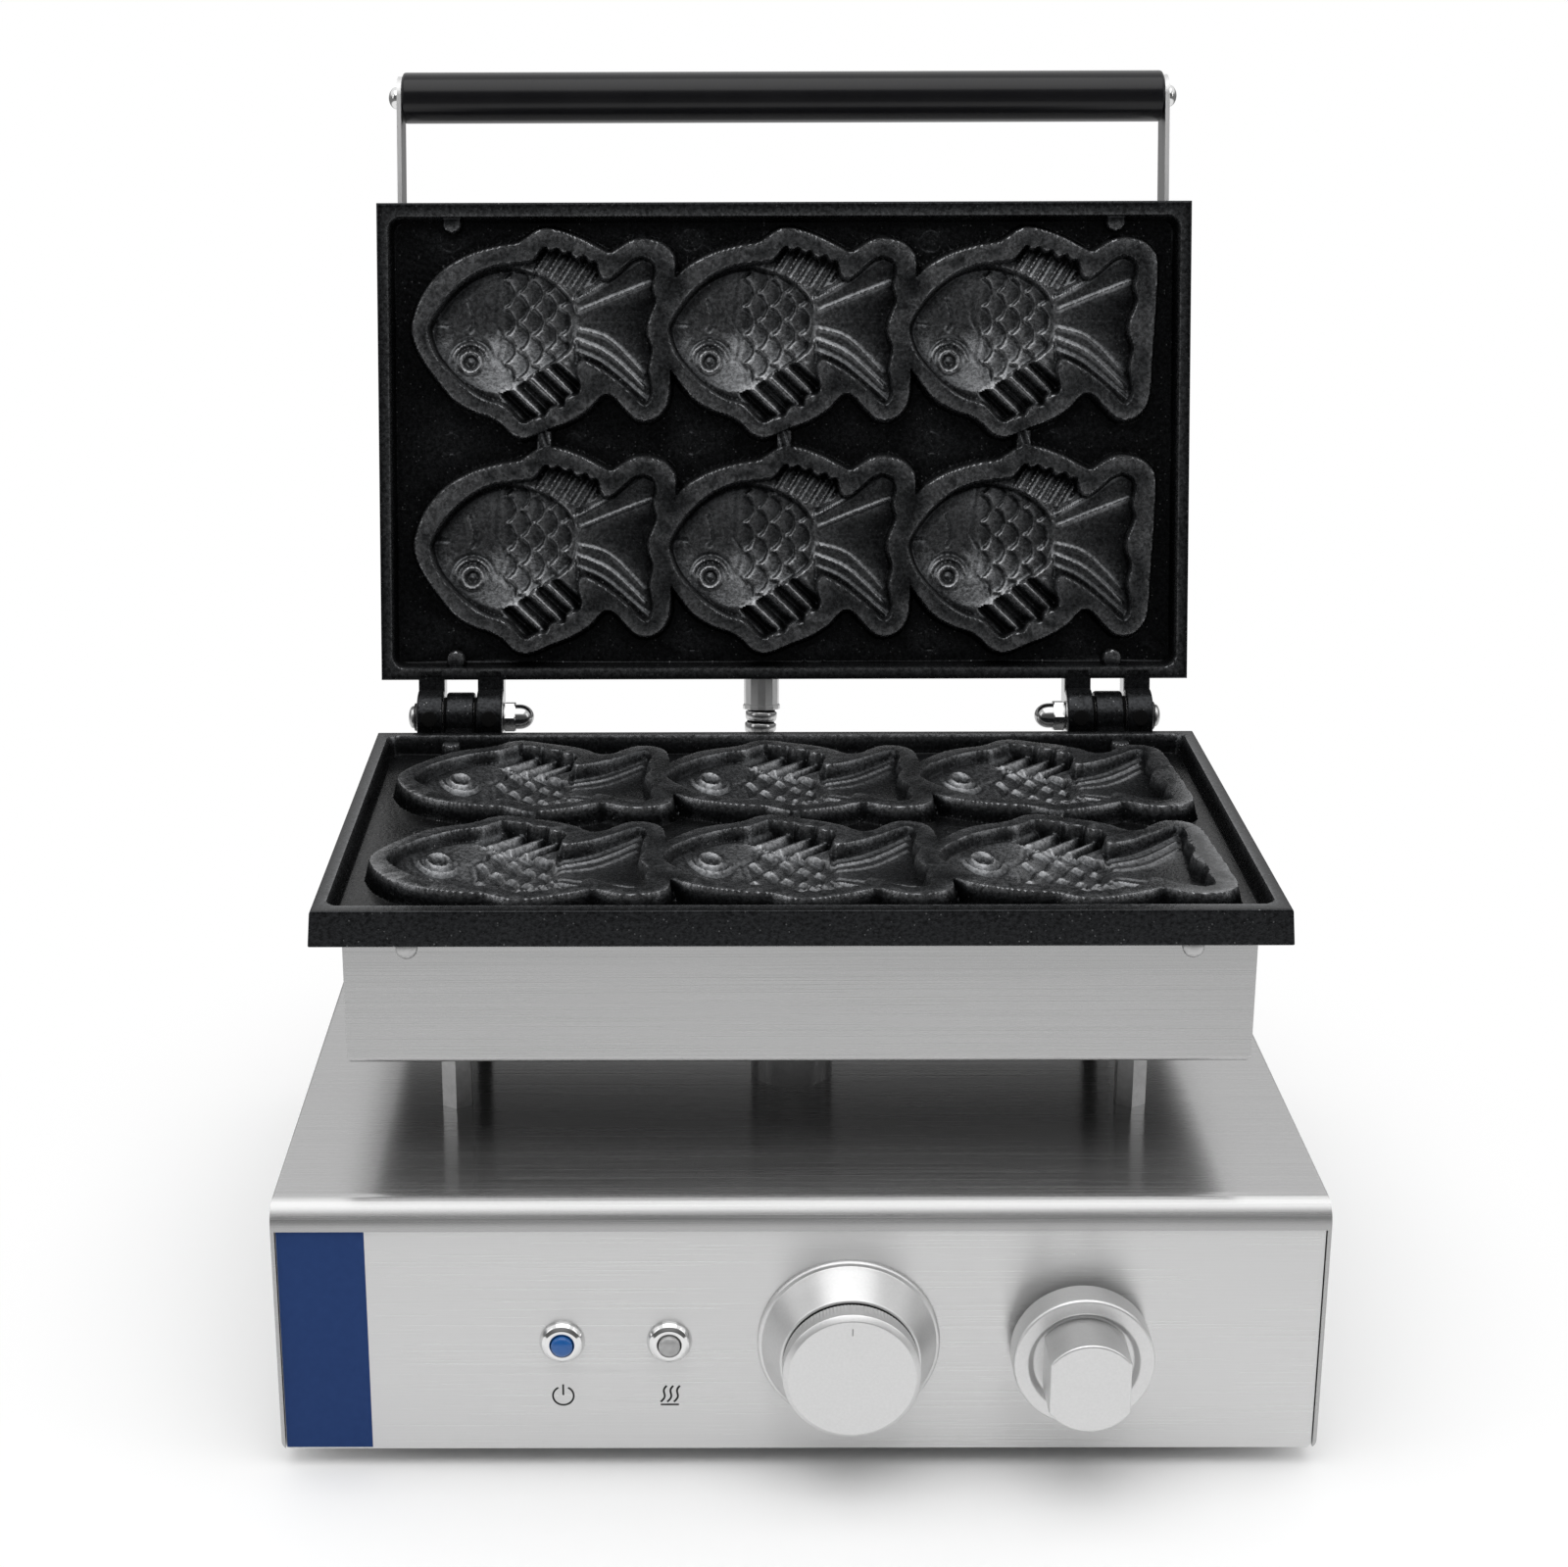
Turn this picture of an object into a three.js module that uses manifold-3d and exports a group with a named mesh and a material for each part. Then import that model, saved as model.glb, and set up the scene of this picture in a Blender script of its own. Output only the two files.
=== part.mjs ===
// Fish waffle maker with six cast fish moulds between two heated plates, lid standing open.
// Millimetres, +Z up, the controls face -Y. The origin is under the middle of the whole machine.
import * as THREE from 'three';
import { mergeVertices } from 'three/addons/utils/BufferGeometryUtils.js';
import Module from 'manifold-3d';

const wasm = await Module();
wasm.setup();

// General
const fitGap = 0.3;
const overrun = 2;
const degree = Math.PI / 180;
const knobSides = 32;
const postSides = 20;
const roundSides = 16;
const smallSides = 12;
const screwSides = 8;
const hexSides = 6;
const bendSteps = 3;

// Base housing
const baseWidth = 410;
const baseDepth = 350;
const baseHeight = 108;
const footHeight = 8;
const footRadius = 11;
const footToeRadius = 9.5;
const footInset = 39;
const sheet = 1.5;
const noseRadius = 10;
const noseLip = 1.5;
const noseSteps = 5;
const rearBend = 3;
const cornerBend = 4;
const topCornerBend = 1.6;
const bottomFlange = 14;
const panelRecess = 1.2;
const panelDepth = 13;
const panWall = 1.2;
const panHeight = 12;
const baseBottom = footHeight;
const baseTop = baseBottom + baseHeight;
const noseBottom = baseTop - noseRadius - noseLip;
const panFloor = baseBottom + sheet + fitGap;

// Vents in the rear wall and in the pan
const ventCount = 8;
const ventWidth = 5;
const ventPitch = 12;
const ventHeight = 34;
const ventSide = 24;
const ventBottom = 34;
const panVentCount = 7;
const panVentWidth = 6;
const panVentPitch = 18;
const panVentLength = 70;

// Controls, places measured from the middle of the panel and from the base's bottom edge
const controlHeight = 48;
const powerLampX = -93;
const heatLampX = -51;
const timerX = 19.2;
const thermostatX = 109.3;
const lampFlangeRadius = 9;
const lampBezelHeight = 3.6;
const lampLensRadius = 4.25;
const lampLensProud = 2.6;
const lampBarrelRadius = 6;
const lampBarrelLength = 16;
const timerBezelRadius = 35.8;
const timerBezelRim = 2.2;
const timerBezelHeight = 16.6;
const timerBezelMouthRadius = 27.2;
const timerBezelWall = 1.8;
const timerKnobRadius = 26.5;
const timerKnobFaceRadius = 24.4;
const timerKnobLength = 10;
const timerKnobChamfer = 1.6;
const timerKnobGap = 0.9;
const timerHubRadius = 9;
const timerBodyWidth = 44;
const timerBodyDepth = 32;
const thermostatSkirtGap = 3.2;
const thermostatSkirtLength = 13;
const thermostatSkirtRadius = 27.4;
const thermostatSkirtTaper = 0.8;
const thermostatRingRadius = 21.5;
const thermostatDishDepth = 2.6;
const thermostatDishTaper = 2;
const thermostatGripRadius = 18.6;
const thermostatGripWidth = 31;
const thermostatGripReach = 34;
const thermostatGripSteps = 6;
const thermostatBodyWidth = 38;
const thermostatBodyDepth = 46;
const bushRadius = 5.5;
const bushReach = 2.6;
const shaftRadius = 3;
const shaftDepth = 18;

// Wiring inside the base
const terminalWidth = 64;
const terminalDepth = 22;
const terminalHeight = 20;
const terminalX = 40;
const terminalY = 250;
const terminalPoles = 5;
const terminalBarrierShare = 0.25;
const terminalStepShare = 0.45;
const glandSide = 65;
const glandHeight = 34;
const glandBoreRadius = 4.6;
const glandBodyRadius = 8;
const glandNutRadius = 12;
const glandFlange = 5;
const glandDome = 9;
const glandInside = 9;
const glandLip = 2;

// Supports under the lower mould, places measured inwards from the casing's walls
const standoffFlats = 12;
const standoffHeight = 44;
const standoffSide = 37;
const standoffFront = 57.1;
const standoffRear = 43.9;
const postRadius = 17.4;
const postWall = 1.5;
const postFront = 87.1;

// Cast plates, depths measured from the mating face
const plateWidth = 375;
const plateDepth = 220;
const plateThickness = 14.4;
const plateDraft = 1;
const plateFrontY = 22.5;
const matingGap = 0.4;
const rimSide = 5.2;
const rimFront = 6.2;
const recessDepth = 8.5;
const recessDraft = 3;
const recessRadius = 6;
const recessSteps = 3;
const bossRadius = 4.6;
const bossSide = 34.5;
const bossInset = 9;
const bossDrop = 2.5;
const webWidth = 7;
const webLength = 12;
const webDrop = 1.5;
const seam = 0.5;

// Fish moulds: each outline is drawn in a frame, and the frames of the two rows overlap
const fishColumns = 3;
const fishRows = 2;
const columnMargin = 21;
const rowMargin = 10;
const columnGap = 5;
const rowOverlap = 6;
const finDepth = 5.5;
const finDraft = 1.2;
const cupDraft = 2.5;
const bodyDepth = 14;
const bumpWall = 3.4;
const bumpDepth = 18;
const bumpDraft = 2;
const backSteps = 7;
const bellySteps = 5;
const cupSteps = 32;
const bodySteps = 15;
const bumpSteps = 10;
const topLobes = 5;
const bottomLobes = 4;
const eyeRadius = 5.3;
const eyeGroove = 1.8;
const eyeLevel = 12.8;
const eyeRelief = 1.2;
const eyeTilt = 16 * degree;
const pupilRadius = 2.2;
const tailRibWidth = 2.4;
const tailRibHeight = 1.3;

// One fish as shares of its frame's length and span, from its middle, nose towards -X, back towards +Y
const backShares = [[-0.507, 0], [-0.458, 0.121], [-0.311, 0.259], [-0.113, 0.313], [-0.052, 0.324]];
const topFinStartShare = [-0.014, 0.364];
const topFinEndShare = [0.25, 0.283];
const topFinArchShare = 0.022;
const topFinLobeShare = 0.021;
const tailShares = [
  [0.274, 0.24], [0.316, 0.264], [0.377, 0.317], [0.429, 0.336], [0.481, 0.313], [0.492, 0.264],
  [0.483, 0.198], [0.492, 0.137], [0.464, 0.061], [0.457, 0.005], [0.477, -0.066], [0.465, -0.151],
  [0.476, -0.226], [0.47, -0.288], [0.442, -0.313], [0.41, -0.295], [0.349, -0.236], [0.264, -0.168],
  [0.179, -0.123], [0.155, -0.137],
];
const bottomFinStartShare = [0.165, -0.222];
const bottomFinStepShare = [-0.071, -0.05];
const bottomFinLobeShare = [-0.014, -0.042];
const bellyShares = [[-0.118, -0.375], [-0.179, -0.315], [-0.34, -0.239], [-0.476, -0.087]];
const cupShares = [
  [-0.568, 0.019], [-0.526, 0.158], [-0.4, 0.295], [-0.208, 0.371], [-0.066, 0.413], [0.019, 0.449],
  [0.17, 0.403], [0.288, 0.344], [0.387, 0.396], [0.509, 0.387], [0.569, 0.302], [0.566, 0.142],
  [0.552, -0.094], [0.542, -0.255], [0.486, -0.36], [0.401, -0.365], [0.311, -0.274], [0.231, -0.28],
  [0.113, -0.373], [-0.047, -0.438], [-0.137, -0.431], [-0.231, -0.356], [-0.389, -0.28], [-0.515, -0.119],
];
const bodyShares = [
  [-0.485, 0], [-0.395, 0.17], [-0.302, 0.243], [-0.189, 0.284], [0.02, 0.235], [0.136, 0.113],
  [0.124, -0.052], [-0.028, -0.168], [-0.113, -0.222], [-0.208, -0.258], [-0.302, -0.232], [-0.458, -0.078],
];
const bodyMiddleShare = [-0.17, 0.01];
const bowlScaleShares = [1, 0.92, 0.6];
const bowlDepthShares = [0, 0.7, 1];
const eyeShare = [-0.321, -0.12];
const tailRibShares = [
  [[0.151, 0.151], [0.415, 0.311]],
  [[0.16, 0.094], [0.443, 0.208]],
  [[0.151, 0.019], [0.415, -0.151]],
  [[0.16, -0.05], [0.434, -0.236]],
];

// Sheet casings behind the plates, their walls measured inwards from the plate's edges
const casingSide = 10.5;
const casingRear = 10.6;
const casingFrontInset = 10.4;
const casingHeight = 54;
const casingWall = 1.2;
const casingBend = 3;
const tabSide = 25;
const tabWidth = 14;
const tabThickness = 6;
const tabHeight = 10;
const casingScrewRadius = 4.2;
const casingScrewHead = 2.4;
const casingScrewDrop = 4.6;
const screwShankRadius = 2;
const screwShankLength = 7.2;

// Heating elements and the bars that hold them
const elementRadius = 4;
const elementSides = 6;
const elementSteps = 22;
const elementSide = 27;
const elementBend = 26;
const elementBarX = 37;
const elementBarWidth = 20;
const elementBarThickness = 2;
const elementBarOverhang = 14;
const elementStudRadius = 4;
const elementStudSpacing = 25;

// Hinges
const hingeSide = 37;
const hingeOffset = 17.4;
const hingeRise = 1.8;
const lugWidth = 13;
const lugRadius = 11.5;
const earWidth = 12;
const earRadius = 13;
const earSpacing = 15.5;
const eyeSteps = 8;
const hingeBore = 4.3;
const boltRadius = 4;
const boltHeadRadius = 5.2;
const boltHead = 2.6;
const washerRadius = 6.5;
const washerThickness = 1.6;
const nutFlats = 13;
const nutHex = 5.5;
const nutDome = 8.3;
const nutDomeRadius = 5.8;
const nutBoreDepth = 8;
const openAngle = 102.7 * degree;

// Handle, heights measured from the mating face, lengths from the plate's rear or front edge
const armThickness = 2;
const armWidth = 20;
const armStart = 58;
const armHeight = 25;
const armTipSteps = 6;
const gripReach = 51;
const gripRadius = 11.7;
const gripScrewRadius = 5;
const gripScrewHead = 4.4;
const gripShankRadius = 3;
const gripShankLength = 14;
const armScrewRear = 80;
const armScrewFront = 40;
const armScrewRadius = 4.2;
const armScrewHead = 2.6;

// Ribbed conduit between lid and base, its route measured from the open end of the lower fitting
const conduitX = -10;
const conduitHeight = 30;
const sleeveRadius = 8.3;
const sleeveLength = 27;
const sleeveFlangeRadius = 11;
const sleeveFlange = 2.5;
const conduitBore = 5;
const conduitCrestRadius = 7.5;
const conduitRootRadius = 6.5;
const conduitPitch = 5.4;
const conduitSides = 8;
const conduitBoreEvery = 5;
const fittingX = 17;
const fittingBehind = 59.5;
const fittingHeight = 15;
const fittingRadius = 8.6;
const fittingNutRadius = 12;
const fittingNut = 5;
const fittingNeck = 6;
const fittingWall = 1.6;
const conduitRoute = [[-20, -16, 64.7], [-8, -12.5, 49.7], [2, -7.5, 34.7], [4.5, -3, 22.7]];

// Places that follow from the sizes above
const plateRearY = plateFrontY + plateDepth;
const columnPitch = (plateWidth - 2 * columnMargin) / fishColumns;
const rowPitch = (plateDepth - 2 * rowMargin) / fishRows;
const firstRow = rowMargin + rowPitch / 2;
const fishLength = columnPitch - columnGap;
const fishSpan = rowPitch + rowOverlap;
const bossX = plateWidth / 2 - bossSide;
const hingeX = plateWidth / 2 - hingeSide;
const casingWidth = plateWidth - 2 * casingSide;
const casingFront = plateDepth - casingFrontInset;
const casingRearY = plateRearY - casingRear;
const casingFrontY = plateRearY - casingFront;
const tabX = casingWidth / 2 - tabSide;
const elementX = casingWidth / 2 - elementSide;
const standoffX = casingWidth / 2 - standoffSide;
const standoffFrontY = casingFrontY + standoffFront;
const standoffRearY = casingRearY - standoffRear;
const postY = casingFrontY + postFront;
const ventX = baseWidth / 2 - ventSide - (ventCount - 1) * ventPitch - ventWidth;
const glandX = glandSide - baseWidth / 2;
const gripPlace = plateDepth + gripReach;
const armScrewPlaces = [armScrewRear, plateDepth - armScrewFront];
const fittingY = plateRearY + fittingBehind;
const fittingEndZ = baseTop + fittingHeight + fitGap;
const casingBottomZ = baseTop + standoffHeight;
const lowerMatingZ = casingBottomZ + casingHeight + plateThickness;
const hingeY = plateRearY + hingeOffset;
const hingeZ = lowerMatingZ + hingeRise;
const upperMatingZ = lowerMatingZ + matingGap;
const controlZ = baseBottom + controlHeight;
const plateUnderside = plateThickness + fitGap;
const casingClosed = plateThickness + casingHeight;
const elementTop = bumpDepth + fitGap;
const elementMiddle = elementTop + elementRadius;
const elementBarTop = elementMiddle + elementRadius + fitGap;
const fittingNeckRadius = fittingRadius - fittingWall;
const sleeveNeckRadius = sleeveRadius - fittingWall;
const panelFace = panelRecess - fitGap;
const knobShaftEnd = panelRecess + sheet + shaftDepth;

// Materials
function material(color, metalness, roughness) {
  return new THREE.MeshStandardMaterial({ color, metalness, roughness });
}
const brushedSteel = () => material(0xc9cbcc, 1, 0.34);
const satinSteel = () => material(0xa8abae, 1, 0.42);
const chrome = () => material(0xdfe2e4, 1, 0.12);
const castAluminium = () => material(0x25272a, 0.6, 0.55);
const zincSteel = () => material(0xa3a7a8, 1, 0.45);
const satinKnob = () => material(0xe2e3e4, 0.7, 0.3);
const blackPlastic = () => material(0x101113, 0, 0.25);
const greyPlastic = () => material(0x6b6e72, 0, 0.5);
const blackRubber = () => material(0x17181a, 0, 0.8);
const ceramic = () => material(0xe9e4d6, 0, 0.6);
const heaterSheath = () => material(0x5a5d60, 1, 0.5);
const blueLens = () => material(0x285a9c, 0, 0.2);
const clearLens = () => material(0xb4b6b7, 0, 0.25);

// Geometry helpers
function outward(geometry) {
  const indexed = geometry.index ? geometry : mergeVertices(geometry);
  const points = indexed.attributes.position;
  const index = Array.from(indexed.index.array);
  const corners = [new THREE.Vector3(), new THREE.Vector3(), new THREE.Vector3()];
  let volume = 0;
  for (let i = 0; i < index.length; i += 3) {
    corners.forEach((corner, k) => corner.fromBufferAttribute(points, index[i + k]));
    volume += corners[0].dot(corners[1].clone().cross(corners[2]));
  }
  if (volume < 0) {
    for (let i = 0; i < index.length; i += 3) {
      [index[i], index[i + 1]] = [index[i + 1], index[i]];
    }
  }
  indexed.setIndex(index);
  return indexed;
}

function solid(geometry) {
  const bare = geometry.clone();
  bare.deleteAttribute('normal');
  bare.deleteAttribute('uv');
  const merged = outward(mergeVertices(bare));
  const vertProperties = new Float32Array(merged.attributes.position.array);
  const triVerts = new Uint32Array(merged.index.array);
  return new wasm.Manifold(new wasm.Mesh({ numProp: 3, vertProperties, triVerts }));
}

function surface(manifold) {
  const mesh = manifold.getMesh();
  const geometry = new THREE.BufferGeometry();
  geometry.setAttribute('position', new THREE.BufferAttribute(mesh.vertProperties, mesh.numProp));
  geometry.setIndex(new THREE.BufferAttribute(mesh.triVerts, 1));
  return geometry;
}

function joined(first, ...others) {
  return surface(others.reduce((whole, piece) => whole.add(solid(piece)), solid(first)));
}

function cut(base, ...tools) {
  return surface(tools.reduce((whole, tool) => whole.subtract(solid(tool)), solid(base)));
}

function common(first, second) {
  return surface(solid(first).intersect(solid(second)));
}

function box(x, y, z) {
  const geometry = new THREE.BoxGeometry(x[1] - x[0], y[1] - y[0], z[1] - z[0]);
  return geometry.translate((x[0] + x[1]) / 2, (y[0] + y[1]) / 2, (z[0] + z[1]) / 2);
}

function rodY(radius, from, to, sides = smallSides) {
  const geometry = new THREE.CylinderGeometry(radius, radius, to - from, sides);
  return geometry.translate(0, (from + to) / 2, 0);
}

function rodX(radius, from, to, sides = smallSides) {
  return rodY(radius, from, to, sides).rotateZ(-Math.PI / 2);
}

function rodZ(radius, from, to, sides = smallSides) {
  return rodY(radius, from, to, sides).rotateX(Math.PI / 2);
}

function revolve(profile, sides = roundSides) {
  const points = profile.map(([radius, along]) => new THREE.Vector2(radius, along));
  return outward(mergeVertices(bareOf(new THREE.LatheGeometry(points, sides))));
}

function bareOf(geometry) {
  geometry.deleteAttribute('normal');
  geometry.deleteAttribute('uv');
  return geometry;
}

// A profile drawn in the side view (Y across, Z up), pushed along X
function sidePrism(shape, from, to, curveSegments = bendSteps) {
  const geometry = new THREE.ExtrudeGeometry(shape, { depth: to - from, bevelEnabled: false, curveSegments });
  const axes = [new THREE.Vector3(0, 1, 0), new THREE.Vector3(0, 0, 1), new THREE.Vector3(1, 0, 0)];
  return geometry.applyMatrix4(new THREE.Matrix4().makeBasis(...axes)).translate(from, 0, 0);
}

// A profile drawn in the front view (X across, Z up), pushed along Y
function frontPrism(shape, from, to, curveSegments = bendSteps) {
  const geometry = new THREE.ExtrudeGeometry(shape, { depth: to - from, bevelEnabled: false, curveSegments });
  return geometry.rotateX(Math.PI / 2).translate(0, to, 0);
}

function roundedShape(x, y, lowRadius, highRadius) {
  const shape = new THREE.Shape();
  shape.moveTo(x[0] + lowRadius, y[0]);
  corner(shape, x[1], y[0], -1, 1, lowRadius, -Math.PI / 2);
  corner(shape, x[1], y[1], -1, -1, highRadius, 0);
  corner(shape, x[0], y[1], 1, -1, highRadius, Math.PI / 2);
  corner(shape, x[0], y[0], 1, 1, lowRadius, Math.PI);
  return shape;
}

function corner(shape, x, y, xSide, ySide, radius, angle) {
  if (radius > 0) {
    shape.absarc(x + xSide * radius, y + ySide * radius, radius, angle, angle + Math.PI / 2, false);
  } else {
    shape.lineTo(x, y);
  }
}

function meshOf(points, index) {
  const positions = points.flatMap((point) => [point.x, point.y, point.z]);
  const geometry = new THREE.BufferGeometry();
  geometry.setAttribute('position', new THREE.Float32BufferAttribute(positions, 3));
  return geometry.setIndex(index);
}

// A closed body through rings of as many points each, from the first ring to the last
function loft(drawn) {
  const rings = THREE.ShapeUtils.area(drawn[0]) < 0 ? drawn.map((ring) => ring.toReversed()) : drawn;
  const count = rings[0].length;
  const index = [];
  for (let ring = 0; ring + 1 < rings.length; ring += 1) {
    for (let i = 0; i < count; i += 1) {
      const a = ring * count + i;
      const b = ring * count + (i + 1) % count;
      index.push(a, b, b + count, a, b + count, a + count);
    }
  }
  const last = (rings.length - 1) * count;
  for (const [a, b, c] of THREE.ShapeUtils.triangulateShape(rings[0], [])) {
    index.push(a, c, b);
  }
  for (const [a, b, c] of THREE.ShapeUtils.triangulateShape(rings[rings.length - 1], [])) {
    index.push(last + a, last + b, last + c);
  }
  return outward(meshOf(rings.flat(), index));
}

function ringAt(points, z) {
  return points.map((point) => new THREE.Vector3(point.x, point.y, z));
}

// The outline moved outwards by a distance, inwards where it is negative
function offset(points, distance) {
  const turn = Math.sign(THREE.ShapeUtils.area(points));
  return points.map((point, i) => {
    const before = points[(i + points.length - 1) % points.length];
    const after = points[(i + 1) % points.length];
    const arriving = new THREE.Vector2().subVectors(point, before).normalize();
    const leaving = new THREE.Vector2().subVectors(after, point).normalize();
    const along = arriving.clone().add(leaving).normalize();
    const stretch = Math.max(along.dot(leaving), Math.SQRT1_2);
    const normal = new THREE.Vector2(along.y, -along.x).multiplyScalar(turn * distance / stretch);
    return point.clone().add(normal);
  });
}

function roundedRing(x, y, radius, steps) {
  const shape = roundedShape(x, y, radius, radius);
  return shape.getPoints(steps).slice(0, -1);
}

// The same geometry seen in a mirror that lies in the mating plane
function mirrored(geometry) {
  return outward(bareOf(geometry.clone()).scale(1, 1, -1));
}

function part(name, geometry, look, parent, place = [0, 0, 0]) {
  const body = outward(mergeVertices(bareOf(geometry.clone())));
  body.computeVertexNormals();
  const mesh = new THREE.Mesh(body, look);
  mesh.name = name;
  mesh.position.set(...place);
  parent.add(mesh);
  return mesh;
}

const machine = new THREE.Group();

// Base cover: one bent sheet with a rounded nose over the panel, open below and in front
function baseSide(inset) {
  const shape = new THREE.Shape();
  const rear = baseDepth - rearBend;
  shape.moveTo(inset, baseBottom + inset);
  shape.lineTo(baseDepth - inset, baseBottom + inset);
  shape.absarc(rear, baseTop - rearBend, rearBend - inset, 0, Math.PI / 2, false);
  shape.absarc(noseRadius, baseTop - noseRadius, noseRadius - inset, Math.PI / 2, Math.PI, false);
  return shape;
}

function baseShell(inset) {
  const half = baseWidth / 2 - inset;
  const z = [baseBottom + inset, baseTop - inset];
  const front = roundedShape([-half, half], z, cornerBend - inset, topCornerBend - inset);
  return common(
    sidePrism(baseSide(inset), -half, half, noseSteps),
    frontPrism(front, inset, baseDepth - inset),
  );
}

function baseCover() {
  const inner = baseWidth / 2 - sheet;
  const flange = inner - bottomFlange;
  const below = baseBottom - overrun;
  const panelRear = panelRecess + panelDepth + fitGap;
  const cuts = [
    baseShell(sheet),
    box([-inner, inner], [-overrun, sheet + overrun], [below, noseBottom]),
    box([-inner, inner], [-overrun, panelRear], [below, baseBottom + cornerBend]),
    box([-flange, flange], [0, baseDepth - bottomFlange], [below, baseBottom + overrun]),
    rodZ(postRadius - postWall, baseTop - overrun, baseTop + overrun, postSides).translate(0, postY, 0),
    rodZ(fittingNeckRadius + fitGap, baseTop - overrun, baseTop + overrun).translate(fittingX, fittingY, 0),
    rodY(glandBodyRadius + fitGap, baseDepth - sheet - overrun, baseDepth + overrun)
      .translate(glandX, 0, baseBottom + glandHeight),
  ];
  for (let i = 0; i < ventCount; i += 1) {
    const x = ventX + i * ventPitch;
    const y = baseDepth - sheet - overrun;
    const z = baseBottom + ventBottom;
    cuts.push(box([x, x + ventWidth], [y, baseDepth + overrun], [z, z + ventHeight]));
  }
  return cut(baseShell(0), ...cuts);
}

// Control panel: a shallow tray between the cover's side walls, under its nose
function controlPanel() {
  const half = baseWidth / 2 - sheet - fitGap;
  const corner = cornerBend - sheet - fitGap;
  const top = noseBottom - fitGap;
  const outer = roundedShape([-half, half], [baseBottom, top], corner, 0);
  const inner = roundedShape([-half + sheet, half - sheet], [baseBottom + sheet, top - sheet], 0, 0);
  const rear = panelRecess + panelDepth;
  const hole = (radius, x) => rodY(radius + fitGap, 0, panelRecess + sheet + overrun, roundSides)
    .translate(x, 0, controlZ);
  return cut(
    frontPrism(outer, panelRecess, rear),
    frontPrism(inner, panelRecess + sheet, rear + overrun),
    hole(lampBarrelRadius, powerLampX),
    hole(lampBarrelRadius, heatLampX),
    hole(bushRadius, timerX),
    hole(bushRadius, thermostatX),
  );
}

// Bottom pan: lies on the cover's turned-in flanges, with slots for cooling air
function basePan() {
  const half = baseWidth / 2 - sheet - fitGap;
  const front = panelRecess + panelDepth + fitGap;
  const rear = baseDepth - sheet - fitGap;
  const corner = cornerBend - sheet - fitGap;
  const z = [panFloor, panFloor + panHeight];
  const outer = frontPrism(roundedShape([-half, half], z, corner, 0), front, rear);
  const inside = box(
    [-half + panWall, half - panWall],
    [front + panWall, rear - panWall],
    [panFloor + panWall, panFloor + panHeight + overrun],
  );
  const slots = [];
  for (let i = 0; i < panVentCount; i += 1) {
    const y = baseDepth / 2 + (i - (panVentCount - 1) / 2) * panVentPitch;
    const length = [-panVentLength / 2, panVentLength / 2];
    slots.push(box(length, [y, y + panVentWidth], [panFloor - overrun, panFloor + panWall + overrun]));
  }
  return cut(outer, inside, ...slots);
}

function foot() {
  const height = panFloor;
  const geometry = new THREE.CylinderGeometry(footRadius, footToeRadius, height, roundSides);
  return geometry.rotateX(Math.PI / 2).translate(0, 0, height / 2);
}

part('base_cover', baseCover(), brushedSteel(), machine);
part('control_panel', controlPanel(), brushedSteel(), machine);
part('base_pan', basePan(), zincSteel(), machine);
for (const [row, y] of [['front', footInset], ['rear', baseDepth - footInset]]) {
  for (const [side, sign] of [['left', -1], ['right', 1]]) {
    part(`foot_${row}_${side}`, foot(), blackRubber(), machine, [sign * (baseWidth / 2 - footInset), y, 0]);
  }
}

// Lamps: a domed bezel whose barrel runs through the panel, with the lens in its bore
function lampBezel() {
  const bore = lampLensRadius + fitGap;
  const flange = lampFlangeRadius;
  const ridge = (bore + flange) / 2;
  return revolve([
    [bore, -lampBezelHeight + fitGap],
    [bore + fitGap, -lampBezelHeight],
    [ridge, -lampBezelHeight],
    [flange - fitGap, -lampBezelHeight / 2],
    [flange, 0],
    [lampBarrelRadius, 0],
    [lampBarrelRadius, lampBarrelLength],
    [bore, lampBarrelLength],
    [bore, -lampBezelHeight + fitGap],
  ]);
}

function lampLens() {
  const front = -lampBezelHeight - lampLensProud;
  const domeShares = [[0, 0], [0.6, 0.12], [0.9, 0.42], [1, 1]];
  const dome = domeShares.map(([radius, depth]) => [radius * lampLensRadius, front + depth * lampLensProud]);
  return revolve([...dome, [lampLensRadius, lampBarrelLength], [0, lampBarrelLength]], smallSides);
}

for (const [name, x, lens] of [['power', powerLampX, blueLens()], ['heat', heatLampX, clearLens()]]) {
  part(`${name}_lamp_bezel`, lampBezel(), chrome(), machine, [x, panelFace, controlZ]);
  part(`${name}_lamp_lens`, lampLens(), lens, machine, [x, panelFace, controlZ]);
}

// Timer and thermostat: each body sits behind the panel with its bush through it
function controlBody(width, depth) {
  const behind = panelRecess + sheet + fitGap;
  const case_ = box([-width / 2, width / 2], [behind, behind + depth], [-width / 2, width / 2]);
  const bush = rodY(bushRadius, panelRecess - bushReach, behind + overrun);
  const bore = rodY(shaftRadius + fitGap, -overrun - bushReach, behind + shaftDepth + overrun, screwSides);
  return cut(joined(case_, bush), bore);
}

function timerBezel() {
  const rim = timerBezelRadius;
  const mouth = timerBezelMouthRadius;
  return revolve([
    [rim, 0],
    [rim, -timerBezelRim],
    [mouth, -timerBezelHeight],
    [mouth - timerBezelWall, -timerBezelHeight],
    [rim - timerBezelWall, -timerBezelRim],
    [rim - timerBezelWall, 0],
    [rim, 0],
  ], knobSides);
}

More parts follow.
